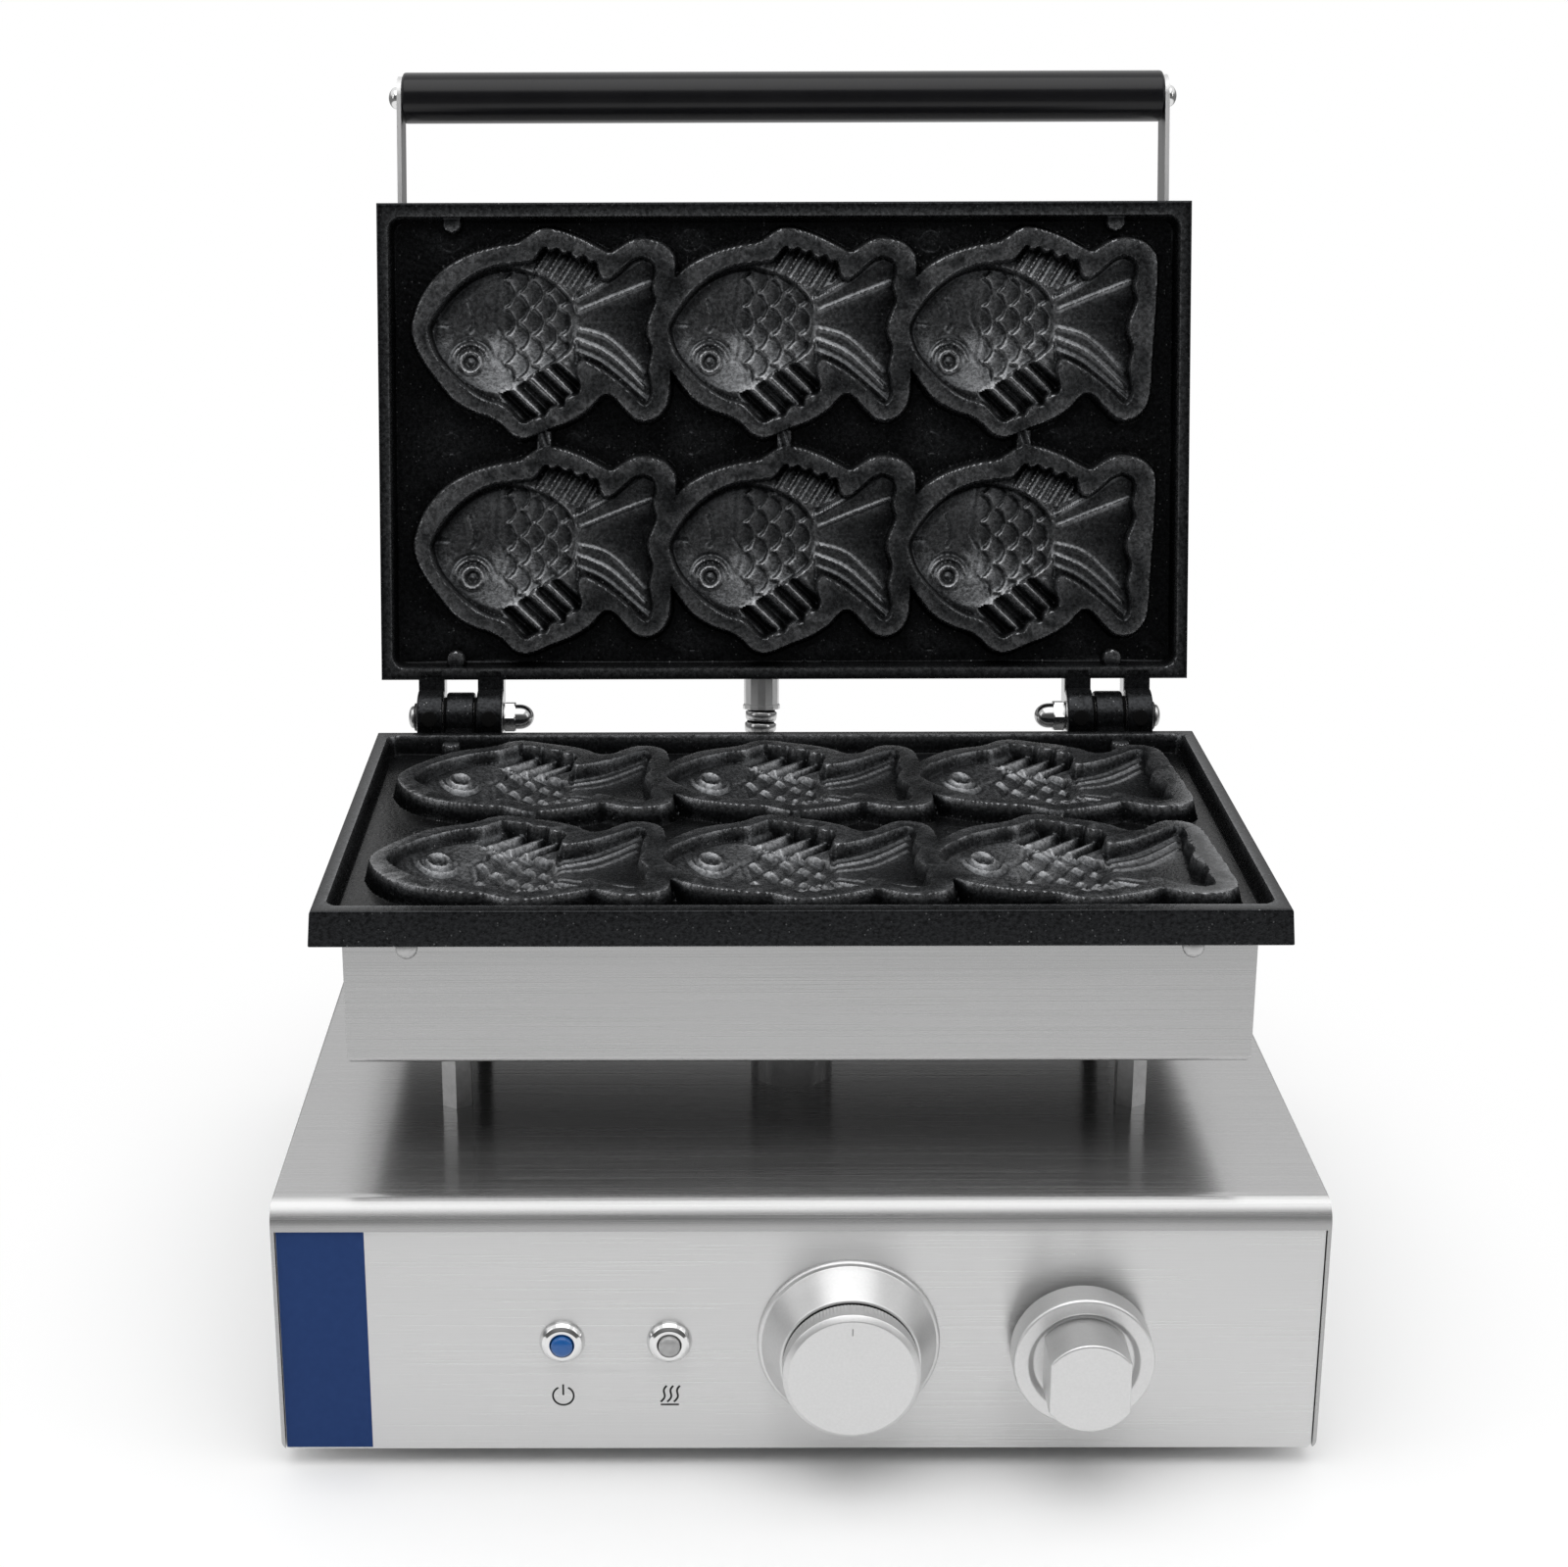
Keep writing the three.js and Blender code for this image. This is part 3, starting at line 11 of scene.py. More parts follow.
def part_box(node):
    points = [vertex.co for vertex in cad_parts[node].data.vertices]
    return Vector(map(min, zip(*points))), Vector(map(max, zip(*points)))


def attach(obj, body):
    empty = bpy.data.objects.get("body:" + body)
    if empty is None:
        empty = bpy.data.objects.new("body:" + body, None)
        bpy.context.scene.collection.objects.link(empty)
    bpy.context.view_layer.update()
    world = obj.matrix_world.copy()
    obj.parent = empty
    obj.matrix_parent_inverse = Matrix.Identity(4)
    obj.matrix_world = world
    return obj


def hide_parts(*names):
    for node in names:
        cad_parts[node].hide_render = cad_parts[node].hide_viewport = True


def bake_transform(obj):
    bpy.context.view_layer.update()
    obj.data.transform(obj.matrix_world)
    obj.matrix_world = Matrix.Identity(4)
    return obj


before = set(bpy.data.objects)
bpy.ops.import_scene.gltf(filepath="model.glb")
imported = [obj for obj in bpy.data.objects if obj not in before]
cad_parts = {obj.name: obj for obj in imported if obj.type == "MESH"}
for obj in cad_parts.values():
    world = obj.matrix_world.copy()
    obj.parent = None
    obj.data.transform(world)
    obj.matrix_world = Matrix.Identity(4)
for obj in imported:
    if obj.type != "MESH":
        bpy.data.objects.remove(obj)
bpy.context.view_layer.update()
scene = bpy.context.scene


def move(x=0, y=0, z=0):
    return Matrix.Translation((x, y, z))


# Sizes and places in millimetres in the machine's own frame, with y 0 at the front of the base
MM = 0.001
BASE = move(y=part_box("base_cover")[0].y) @ Matrix.Scale(MM, 4)
OPEN, QUARTER = radians(102.7), pi / 2
SIDES = (("left", -1), ("right", 1))
BASE_TOP, CONTROL_Z, PANEL_FACE = 116, 56, 1.2
POWER_X, HEAT_X, TIMER_X, THERMOSTAT_X = -93, -51, 19.2, 109.3
PLATE_HALF, PLATE_DEPTH, PLATE_THICK, RECESS = 187.5, 220, 14.4, 8.5
PLATE_REAR_Y, LOWER_FACE_Z, UPPER_LIFT = 242.5, 228.4, 0.4
HINGE_X, HINGE_OFFSET, HINGE_RISE = 150.5, 17.4, 1.8
LUG_HALF, LUG_RADIUS = 6.5, 11.5
EAR_HALF, EAR_RADIUS, EAR_SHIFT = 6, 13, 13.75
FISH_PITCH, ROW_PITCH, FIRST_ROW = 111, 100, 60
GRID_X, GRID_V = 0.6, 0.625
CASING_REAR, CASING_FRONT, SCREW_X, SCREW_DROP = 10.6, 209.6, 152, 19.3
ARM_OUTSIDE, ARM_HEIGHT, ARM_SCREWS = 179.6, 25, (80, 180)
GRIP_HALF, GRIP_RADIUS, GRIP_PLACE = 177, 11.7, 271
FOOT_X, FOOT_PLACES = 166, (("front", 39), ("rear", 311))
POST_Y, GLAND_X, GLAND_Z = 120, -140, 42
SLEEVE_X, SLEEVE_Z, SLEEVE_LENGTH = -10, 30, 27
FITTING_X, FITTING_Y, FITTING_HEIGHT, FIT_GAP = 17, 302, 15, 0.3

LOWER = BASE @ move(0, PLATE_REAR_Y, LOWER_FACE_Z)
HINGE = BASE @ move(0, PLATE_REAR_Y + HINGE_OFFSET, LOWER_FACE_Z + HINGE_RISE) \
    @ Matrix.Rotation(-OPEN, 4, "X")
UPPER = HINGE @ move(0, -HINGE_OFFSET, UPPER_LIFT - HINGE_RISE)
CONTROLS = BASE @ move(0, PANEL_FACE, CONTROL_Z)
TO_MINUS_Y = Matrix.Rotation(QUARTER, 4, "X")
TO_PLUS_Y = Matrix.Rotation(-QUARTER, 4, "X")
TO_PLUS_X = Matrix.Rotation(QUARTER, 4, "Y")
TO_MINUS_X = Matrix.Rotation(-QUARTER, 4, "Y")


def add_object(name, data):
    obj = bpy.data.objects.new(name, data)
    scene.collection.objects.link(obj)
    return obj


def outwards(sign):
    """Turns a lathed shape's axis to the left or the right."""
    return TO_PLUS_X if sign > 0 else TO_MINUS_X


# Materials
def tree_of(name):
    mat = bpy.data.materials.new(name)
    mat.use_nodes = True
    return mat, mat.node_tree, mat.node_tree.nodes["Principled BSDF"]


def feed(tree, made, inputs):
    """Each input is a value or the socket that feeds it."""
    for key, value in dict(inputs).items():
        if isinstance(value, bpy.types.NodeSocket):
            tree.links.new(value, made.inputs[key])
        else:
            made.inputs[key].default_value = value


def node(tree, kind, inputs=(), **settings):
    """The kind of a shader node may lack its prefix."""
    made = tree.nodes.new(kind if "Node" in kind else "ShaderNode" + kind)
    for key, value in settings.items():
        setattr(made, key, value)
    feed(tree, made, inputs)
    return made


def coordinates(tree, kind):
    return node(tree, "TexCoord").outputs[kind]


def maths(tree, operation, first, second=0):
    return node(tree, "Math", {0: first, 1: second}, operation=operation).outputs[0]


def mix(tree, share, first, second):
    return node(tree, "Mix", {0: share, 2: first, 3: second}, data_type="FLOAT").outputs[0]


def mix_colours(tree, share, first, second, blend="MIX"):
    return node(tree, "Mix", {0: share, 6: first, 7: second}, data_type="RGBA", blend_type=blend).outputs[2]


def smooth_range(tree, value, low, high, first=0, last=1):
    limits = {"Value": value, "From Min": low, "From Max": high, "To Min": first, "To Max": last}
    return node(tree, "MapRange", limits, interpolation_type="SMOOTHSTEP").outputs["Result"]


def noise(tree, where, scale, detail, roughness=0.5):
    inputs = {"Vector": where, "Scale": scale, "Detail": detail, "Roughness": roughness}
    return node(tree, "TexNoise", inputs).outputs["Fac"]


def ramp(tree, source, stops):
    """Colours, or greys as one number, between places of a source that runs from 0 to 1."""
    made = node(tree, "ValToRGB", {"Fac": source})
    elements = made.color_ramp.elements
    for _ in stops[2:]:
        elements.new(0.5)
    for element, (place, colour) in zip(elements, stops):
        element.position = place
        element.color = (*colour, 1) if isinstance(colour, tuple) else (colour, colour, colour, 1)
    return made.outputs["Color"]


def between(tree, source, low, high, start=0.3):
    """Two colours, mixed over the middle of a noise."""
    return ramp(tree, source, [(start, low), (1 - start, high)])


def place_of(tree, scale=(1, 1, 1), turn=0):
    """Object coordinates, turned for a piece of the lid and stretched along the grain."""
    turned = node(tree, "Mapping", {"Vector": coordinates(tree, "Object"), "Rotation": (turn, 0, 0)})
    return node(tree, "Mapping", {"Vector": turned.outputs["Vector"], "Scale": scale}).outputs["Vector"]


def surface(tree, shader, colour, roughness, height, bump, bump_depth, others):
    bumped = node(tree, "Bump", {"Height": height, "Strength": bump, "Distance": bump_depth})
    normal = bumped.outputs["Normal"]
    feed(tree, shader, {"Base Color": colour, "Roughness": roughness, "Normal": normal, **others})


LINE_STRETCH, LINE_FINENESS = 6, 2200
ALONG_X = (LINE_STRETCH, LINE_FINENESS, LINE_FINENESS)
ALONG_Y = (LINE_FINENESS, LINE_STRETCH, LINE_FINENESS)


def steel(name, tone, rough, grain=ALONG_X, turn=0, underside_shade=1):
    """Brushed sheet, lined along Y on faces that look sideways; the last argument darkens the faces that
    look down as painted shade.
    """
    smudges, smudge_share, tone_spread, facing = (3, 9, 9), 0.3, 0.05, 0.7
    smoother, rougher, bump, bump_depth = 0.85, 1.2, 0.03, 0.0002
    mat, tree, shader = tree_of(name)
    normal = node(tree, "SeparateXYZ", {"Vector": coordinates(tree, "Normal")}).outputs
    sideways = maths(tree, "GREATER_THAN", maths(tree, "ABSOLUTE", normal["X"]), facing)
    lines = [noise(tree, place_of(tree, scale, turn), 1, 3, 0.65) for scale in (grain, ALONG_Y)]
    picked = mix(tree, sideways, *lines)
    clouded = mix(tree, smudge_share, picked, noise(tree, place_of(tree, smudges, turn), 1, 2))
    colour = between(tree, clouded, tone * (1 - tone_spread), tone * (1 + tone_spread))
    # Faces that look down are multiplied by the last argument: painted shade.
    below = maths(tree, "LESS_THAN", normal["Z"], -facing)
    shade = mix_colours(tree, below, (1, 1, 1, 1), (underside_shade, underside_shade, underside_shade, 1))
    shaded_colour = mix_colours(tree, 1, colour, shade, "MULTIPLY")
    roughness = between(tree, picked, rough * smoother, rough * rougher)
    along = node(tree, "CombineXYZ", {"X": 1, "Y": 0.02, "Z": 0}).outputs["Vector"]
    surface(tree, shader, shaded_colour, roughness, picked, bump, bump_depth,
            {"Metallic": 1, "Anisotropic": 1, "Anisotropic Rotation": 0.25, "Tangent": along})
    return mat


def grained(name, dark, light, rough, metallic=0, scale=700, bump=0.2, coat=0, specular=0.5):
    """Cast, moulded or turned surface: two tones and a fine even grain."""
    broader, broad_share, rough_spread, bump_depth, coat_rough = 25, 0.45, 0.12, 0.0003, 0.05
    mat, tree, shader = tree_of(name)
    where = place_of(tree)
    fine = noise(tree, where, scale, 4, 0.6)
    broad = noise(tree, where, scale / broader, 3)
    colour = between(tree, mix(tree, broad_share, fine, broad), dark, light, 0.35)
    roughness = between(tree, broad, rough * (1 - rough_spread), rough * (1 + rough_spread))
    surface(tree, shader, colour, roughness, fine, bump, bump_depth,
            {"Metallic": metallic, "Coat Weight": coat, "Coat Roughness": coat_rough,
             "Specular IOR Level": specular})
    return mat


def cast_coating(name):
    """Dark non-stick coating: soft grain and painted glints, with painted shade in hollows and painted
    highlight on moulds and standing edges.
    """
    fine_scale, broad_scale, cell_scale, cloud_share = 620, 22, 900, 0.12
    rare_above, painted_glint_radius, painted_glint_tone = 0.94, 0.3, (0.11, 0.112, 0.115, 1)
    tones = [(0.05, (0.012, 0.0125, 0.0135)), (0.3, (0.03, 0.0313, 0.0335)), (0.6, (0.098, 0.1015, 0.106)),
             (0.95, (0.3, 0.305, 0.315))]
    smooth, rough, bump, bump_depth = 0.2, 0.32, 0.35, 0.0004
    mat, tree, shader = tree_of(name)
    where = place_of(tree)
    fine = noise(tree, where, fine_scale, 3, 0.65)
    broad = noise(tree, where, broad_scale, 4)
    painted_light = node(tree, "Attribute", attribute_name="painted_light").outputs["Fac"]
    # The share picks a tone from dark to pale: painted shade in hollows, painted highlight on moulds and
    # edges.
    tone = ramp(tree, mix(tree, cloud_share, painted_light, broad), tones)
    # Rare pale Voronoi dots on the coating: painted glints.
    cells = node(tree, "TexVoronoi", {"Vector": where, "Scale": cell_scale, "Randomness": 1}).outputs
    draw = node(tree, "SeparateXYZ", {"Vector": cells["Color"]}).outputs["X"]
    rare = maths(tree, "GREATER_THAN", draw, rare_above)
    near = maths(tree, "LESS_THAN", cells["Distance"], painted_glint_radius)
    grain = ramp(tree, fine, [(0.34, 0.32), (0.5, 0.7), (0.66, 1)])
    speckled = mix_colours(tree, 1, tone, grain, "MULTIPLY")
    colour = mix_colours(tree, maths(tree, "MULTIPLY", rare, near), speckled, painted_glint_tone)
    roughness = between(tree, fine, smooth, rough)
    surface(tree, shader, colour, roughness, fine, bump, bump_depth,
            {"Metallic": 0.85, "Specular IOR Level": 0.3})
    return mat


# A sheet has a tone and a roughness; the rest two tones, roughness, metal share, scale and bump
CAST = cast_coating("cast_coating")
MACHINED = grained("machined_aluminium", 0.5, 0.68, 0.3, 1, 500, 0.15)
BRUSHED = steel("brushed_steel", 0.46, 0.24)
PANEL = steel("panel_steel", 0.73, 0.3)
# The lower casing's underside is darkened to a fifth: painted shade.
CASING = steel("casing_steel", 0.54, 0.25, underside_shade=0.2)
LID_CASING = steel("lid_casing_steel", 0.54, 0.25, turn=OPEN)
ARM = steel("arm_steel", 0.6, 0.3, grain=ALONG_Y, turn=OPEN)
ZINC = grained("zinc_steel", 0.4, 0.56, 0.36, 1, 300, 0.1)
POLISHED = grained("chrome", 0.72, 0.8, 0.09, 1, 90, 0.01)
TURNED = grained("turned_steel", 0.5, 0.62, 0.24, 1, 900, 0.06)
NICKEL = grained("nickel", 0.4, 0.5, 0.16, 1, 200, 0.02)
KNOB = grained("satin_knob", 0.67, 0.73, 0.4, 0.85, 900, 0.05)
BRIGHT = grained("bright_tube", 0.74, 0.84, 0.36, 1, 300, 0.03)
# Near-black look of the openings, hose grooves and hinge collars, painted shade; the hinge plugs use it
# too.
PAINTED_SHADE = grained("painted_shade_gap", 0.002, 0.003, 0.7, 0, 500, 0.02, specular=0.1)
BLACK_GLOSS = grained("black_gloss", (0.004, 0.004, 0.005), (0.007, 0.007, 0.008), 0.22, 0, 60, 0.02,
                      specular=0.3)
BLACK_SATIN = grained("black_satin", (0.010, 0.010, 0.011), (0.016, 0.016, 0.017), 0.42, 0, 800, 0.1)
GREY_PLASTIC = grained("grey_plastic", 0.12, 0.16, 0.5, 0, 600, 0.1)
RUBBER = grained("black_rubber", 0.012, 0.02, 0.75, 0, 900, 0.3)
CERAMIC = grained("ceramic", (0.7, 0.66, 0.56), (0.8, 0.76, 0.66), 0.6, 0, 500, 0.15)
SHEATH = grained("element_sheath", (0.07, 0.065, 0.06), (0.13, 0.12, 0.11), 0.5, 0.7, 400, 0.2)
BLUE_LENS = grained("blue_lens", (0.008, 0.095, 0.33), (0.012, 0.12, 0.4), 0.3, 0, 500, 0.02, coat=0.2)
CLEAR_LENS = grained("clear_lens", 0.36, 0.45, 0.2, 0, 500, 0.02, coat=0.8)
BLUE_STRIP = grained("blue_film", (0.014, 0.042, 0.15), (0.018, 0.05, 0.17), 0.5, 0, 350, 0.04,
                     specular=0.12)
PRINT = grained("grey_print", 0.012, 0.02, 0.5, 0, 500, 0.02, specular=0.2)
FAINT_PRINT = grained("faint_print", 0.3, 0.36, 0.5, 0, 500, 0.02)

NODE_LOOKS = {
    "base_cover": BRUSHED, "control_panel": PANEL, "base_pan": ZINC,
    "timer_body": GREY_PLASTIC, "thermostat_body": ZINC, "terminal_block": CERAMIC,
    "lower_casing": CASING, "upper_casing": LID_CASING,
    "lower_element": SHEATH, "upper_element": SHEATH, "lower_element_bar": ZINC, "upper_element_bar": ZINC,
    "left_arm": ARM, "right_arm": ARM,
}
NODE_LOOKS |= {f"standoff_{end}_{side}": ZINC for end, _ in FOOT_PLACES for side, _ in SIDES}


def smooth_group(angle):
    """Shades shallow bends smooth and keeps the real edges crisp."""
    group = bpy.data.node_groups.new("smooth_bends", "GeometryNodeTree")
    for direction in ("INPUT", "OUTPUT"):
        group.interface.new_socket("Geometry", in_out=direction, socket_type="NodeSocketGeometry")
    shape = node(group, "NodeGroupInput").outputs[0]
    bend = node(group, "GeometryNodeInputMeshEdgeAngle").outputs["Unsigned Angle"]
    shallow = maths(group, "LESS_THAN", bend, angle)
    faces = node(group, "GeometryNodeSetShadeSmooth", {"Geometry": shape}, domain="FACE").outputs[0]
    inputs = {"Geometry": faces, "Shade Smooth": shallow}
    edges = node(group, "GeometryNodeSetShadeSmooth", inputs, domain="EDGE").outputs[0]
    node(group, "NodeGroupOutput", {0: edges})
    return group


SMOOTH = smooth_group(radians(33))
SHARP_WEIGHT, WELD_REACH = 90, 1e-6


def weigh(obj):
    made = obj.modifiers.new("weigh", "WEIGHTED_NORMAL")
    made.keep_sharp = True
    made.weight = SHARP_WEIGHT


for node_name, look in NODE_LOOKS.items():
    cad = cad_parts[node_name]
    cad.data.materials.clear()
    cad.data.materials.append(look)
    weld = cad.modifiers.new("weld", "WELD")
    weld.merge_threshold = WELD_REACH
    cad.modifiers.new("smooth", "NODES").node_group = SMOOTH
    weigh(cad)


# Shapes, each as points and faces in millimetres
def unit(rows):
    return rows / np.linalg.norm(rows, axis=-1)[..., None]


def softened(points, radius, steps=3):
    """Rounds the corners of an open line; radius is one size, or one for each corner."""
    sizes = radius if isinstance(radius, tuple) else [radius] * len(points)
    out = [points[0]]
    for i, size in zip(range(1, len(points) - 1), sizes):
        a, p, b = (np.array(points[k], float) for k in (i - 1, i, i + 1))
        reach = min(size, 0.45 * np.linalg.norm(a - p), 0.45 * np.linalg.norm(b - p))
        if reach <= 0:
            out.append(tuple(p))
            continue
        first, last = p + unit(a - p) * reach, p + unit(b - p) * reach
        for k in range(steps + 1):
            t = k / steps
            out.append(tuple((1 - t) ** 2 * first + 2 * t * (1 - t) * p + t * t * last))
    out.append(points[-1])
    return out


def polar(radius, angle):
    return radius * cos(angle), radius * sin(angle)


def arc(cx, cy, radius, start, end, steps):
    points = [polar(radius, start + (end - start) * k / steps) for k in range(steps + 1)]
    return [(cx + x, cy + y) for x, y in points]


def sphere_cap(radius, rim, height, steps):
    """(radius, height) points of a domed head from its rim to its middle."""
    return [(radius * x, rim + height * y) for x, y in arc(0, 0, 1, 0, QUARTER, steps)]


def ring_faces(rings, sides, ends=False):
    """Quads between rings of points that follow one another, and the two ends if asked."""
    last = (rings - 1) * sides
    faces = [tuple(range(sides - 1, -1, -1)), tuple(range(last, last + sides))] if ends else []
    for i in range(rings - 1):
        for k in range(sides):
            a, b = i * sides + k, i * sides + (k + 1) % sides
            faces.append((a, b, b + sides, a + sides))
    return faces


def lathe(profile, sides=64, ripple=(0, 0, 0)):
    """(radius, height) points turned about Z; ripple is (size, lowest, highest) of a knurl."""
    widest = max(radius for radius, _ in profile)
    points = []
    for radius, height in profile:
        knurled = ripple[1] <= height <= ripple[2] and radius > widest - 0.7
        for k in range(sides):
            size = radius - (ripple[0] if knurled and k % 2 else 0)
            points.append((*polar(size, 2 * pi * k / sides), height))
    return points, ring_faces(len(profile), sides)


def inset(outline, distance):
    """The outline, drawn anticlockwise, moved inwards."""
    line = np.array(outline, float)
    leaving = unit(np.roll(line, -1, 0) - line)
    along = unit(np.roll(leaving, 1, 0) + leaving)
    stretch = np.maximum((along * leaving).sum(1), 0.5)
    normal = np.stack([-along[:, 1], along[:, 0]], 1)
    return line + normal * (distance / stretch)[:, None]


def slab(outline, low, high, bevel, steps=3):
    """An outline pushed along Z with rounded rims."""
    quarter = arc(0, 0, 1, 0, QUARTER, steps)
    rings = [(bevel * (1 - y), low + bevel * (1 - x)) for x, y in quarter]
    rings += [(away, high - (height - low)) for away, height in rings[::-1]]
    points = [(x, y, height) for away, height in rings for x, y in inset(outline, away)]
    return points, ring_faces(len(rings), len(outline), True)


# Painted light levels of a plate's drafted sides and of the other cast pieces.
SIDE_PAINTED_LIGHT, EYE_PAINTED_LIGHT = 0.26, 0.24


def set_painted_light(mesh, values):
    mesh.attributes.new("painted_light", "FLOAT", "POINT").data.foreach_set("value", values)


def piece(name, shapes, looks, body, stands_for="", angle=35, weighted=True):
    """One object from several closed shapes, each (shape, its matrix, number of its look or nothing)."""
    mesh = bpy.data.meshes.new(name)
    bm = bmesh.new()
    for (points, faces), where, *look in shapes:
        made = [bm.verts.new(where @ Vector(p)) for p in points]
        for face in faces:
            bm.faces.new([made[k] for k in face]).material_index = look[0] if look else 0
    bmesh.ops.remove_doubles(bm, verts=bm.verts, dist=2e-7)
    bmesh.ops.dissolve_degenerate(bm, dist=1e-8, edges=bm.edges)
    bmesh.ops.recalc_face_normals(bm, faces=bm.faces)
    bm.to_mesh(mesh)
    bm.free()
    mesh.shade_smooth()
    mesh.set_sharp_from_angle(angle=radians(angle))
    for look in looks:
        mesh.materials.append(look)
    # A cast piece gets one even level of painted light on its coating.
    if CAST in looks:
        set_painted_light(mesh, [EYE_PAINTED_LIGHT] * len(mesh.vertices))
    obj = add_object(name, mesh)
    if weighted:
        weigh(obj)
    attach(obj, body)
    if stands_for:
        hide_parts(stands_for)
    return obj


def stand_in(node_name, shapes, looks, body, how="turned", angle=35):
    piece(f"{node_name}_{how}", shapes, looks, body, node_name, angle)


# Camera, as in the photograph: 1600 pixels wide with a focal length of 2693 pixels
CAMERA_PLACE = (-0.03404, -1.08321, 0.60549)
CAMERA_PITCH, CAMERA_YAW, CAMERA_ROLL = radians(16.877), radians(-0.197), radians(-0.197)
view = bpy.data.cameras.new("camera")
view.lens, view.sensor_width = 60.596, 36
view.shift_x, view.shift_y = 0.05208, -0.06827
view.clip_start, view.clip_end = 0.05, 60
camera = add_object("camera", view)
camera.matrix_world = move(*CAMERA_PLACE) @ Matrix.Rotation(-CAMERA_YAW, 4, "Z") \
    @ Matrix.Rotation(QUARTER - CAMERA_PITCH, 4, "X") @ Matrix.Rotation(CAMERA_ROLL, 4, "Z")
scene.camera = camera


# The fish relief of the cast plates, with x from the fish's middle and v from the plate's rear edge
CAVITY = [(-53.7, 60), (-52.8, 65.5), (-48.5, 72.8), (-42, 80.5), (-33, 87.5), (-23, 91.7), (-12, 93.2),
    (-5.5, 94.3), (-1.5, 98.6), (1, 100.3), (3.5, 98.6), (6.5, 99.9), (9.5, 97.6), (12.8, 98.2),
    (15.2, 95.2), (19.5, 96.2), (21.5, 93.6), (24.8, 93.4), (26.5, 88), (29, 85.4), (33.5, 88), (40, 93.6),
    (45.5, 95.6), (51, 93.2), (52.2, 88), (51.2, 81), (52.2, 74.5), (49.2, 66.5), (48.4, 60.5), (50.6, 53),
    (49.3, 44), (50.5, 36), (49.8, 29.5), (46.8, 26.8), (43.5, 28.7), (37, 35), (28, 42.2), (19, 47),
    (16.4, 45.5), (16.2, 42), (17.5, 36.5), (15.8, 31.6), (10.6, 30.4), (9.6, 26.3), (3, 25.4), (0.6, 21.6),
    (-5, 20.6), (-9, 18.4), (-12.5, 20.2), (-19, 26.6), (-27, 29.3), (-36, 34.7), (-44, 42.2),
    (-50.5, 50.8)]
CUP = [(-60.2, 62), (-59.3, 67.5), (-55.8, 76.7), (-49.7, 85.2), (-42.4, 91.3), (-32.7, 96.2), (-22, 99.3),
    (-12, 101), (-7, 103.8), (-2.5, 106.8), (2, 107.6), (9, 106.2), (18, 102.7), (25, 99), (30.5, 96.5),
    (35, 98.6), (41, 102), (47, 102.7), (54, 101), (58.6, 97), (60.3, 92), (60, 75), (58.5, 50), (57.5, 33),
    (55.5, 26), (51.5, 21.8), (47, 20.3), (42.5, 21.3), (38, 25.5), (33, 31), (28.5, 32.8), (24.5, 30.3),
    (20, 25.5), (12, 20.5), (3, 17), (-5, 13.6), (-10, 12.7), (-14.5, 14.3), (-19, 18.7), (-24.5, 22.3),
    (-33, 25.3), (-41.2, 30.3), (-48.5, 38.9), (-54.6, 47.4), (-58.5, 55)]
BODY = [(-53, 60), (-50, 69), (-43, 79), (-33, 87), (-20, 91.5), (-8, 90.5), (3, 86), (11, 79.5),
    (15.5, 72), (16.5, 63), (14, 54), (7, 47), (-3, 41), (-12, 35), (-22, 31), (-33, 34), (-43, 42.5),
    (-50, 51.5)]
TOP_FIN = [(-7, 86), (1, 102), (9, 101), (20, 98.5), (27, 93), (25, 86), (17, 79.5), (11, 81), (5.5, 83),
    (0.5, 86)]
GILL_V = (25, 43, 48, 55, 60, 66, 75, 85, 95)
GILL_X = (-13, -16, -20, -18.3, -18.5, -22, -21.5, -20, -19)
TAIL_RIBS = [([(15, 76), (30, 84.5), (46, 94.5)], 0.9), ([(16, 70.5), (32, 77), (49, 83.5)], 0.75),
             ([(15, 62.5), (30, 57.5), (46, 41.5)], 0.7), ([(15, 57.5), (30, 50.5), (46, 35.5)], 0.95),
             ([(15.5, 52), (28, 46), (47.5, 29.5)], 0.8)]
BOTTOM_RIDGES = (7.8, 14.8, 24.3, 32.4, 39.5)
EYE = (-34.3, 47.3)
EJECTORS = [(-43, 204), (68, 203), (-43, 110), (69, 110), (-155, 110), (-43, 18), (68, 18), (-154, 204),
    (-154, 18), (-98, 110), (14, 10.5), (125, 110)]
TAIL_GROOVE = [(14, 77), (36, 88), (47, 95)]
CHEEK_LINE = [(-36.3, 76), (-34.6, 70), (-34.3, 65), (-36, 61.5)]
MOUTH = [(-55, 64.2), (-50, 64.8), (-45, 64.6)]


def spline(points, closed=True, step=1):
    """A smooth line through the points, with about one point a millimetre."""
    line = [np.array(p, float) for p in points]
    count = len(line)
    out = []
    for i in range(count if closed else count - 1):
        a, b, c, d = (line[k % count if closed else min(max(k, 0), count - 1)] for k in range(i - 1, i + 3))
        parts = max(int(np.linalg.norm(c - b) / step), 2)
        for k in range(parts):
            t = k / parts
            out.append(0.5 * (2 * b + (c - a) * t + (2 * a - 5 * b + 4 * c - d) * t * t
                              + (3 * b - a - 3 * c + d) * t ** 3))
    if not closed:
        out.append(line[-1])
    return out


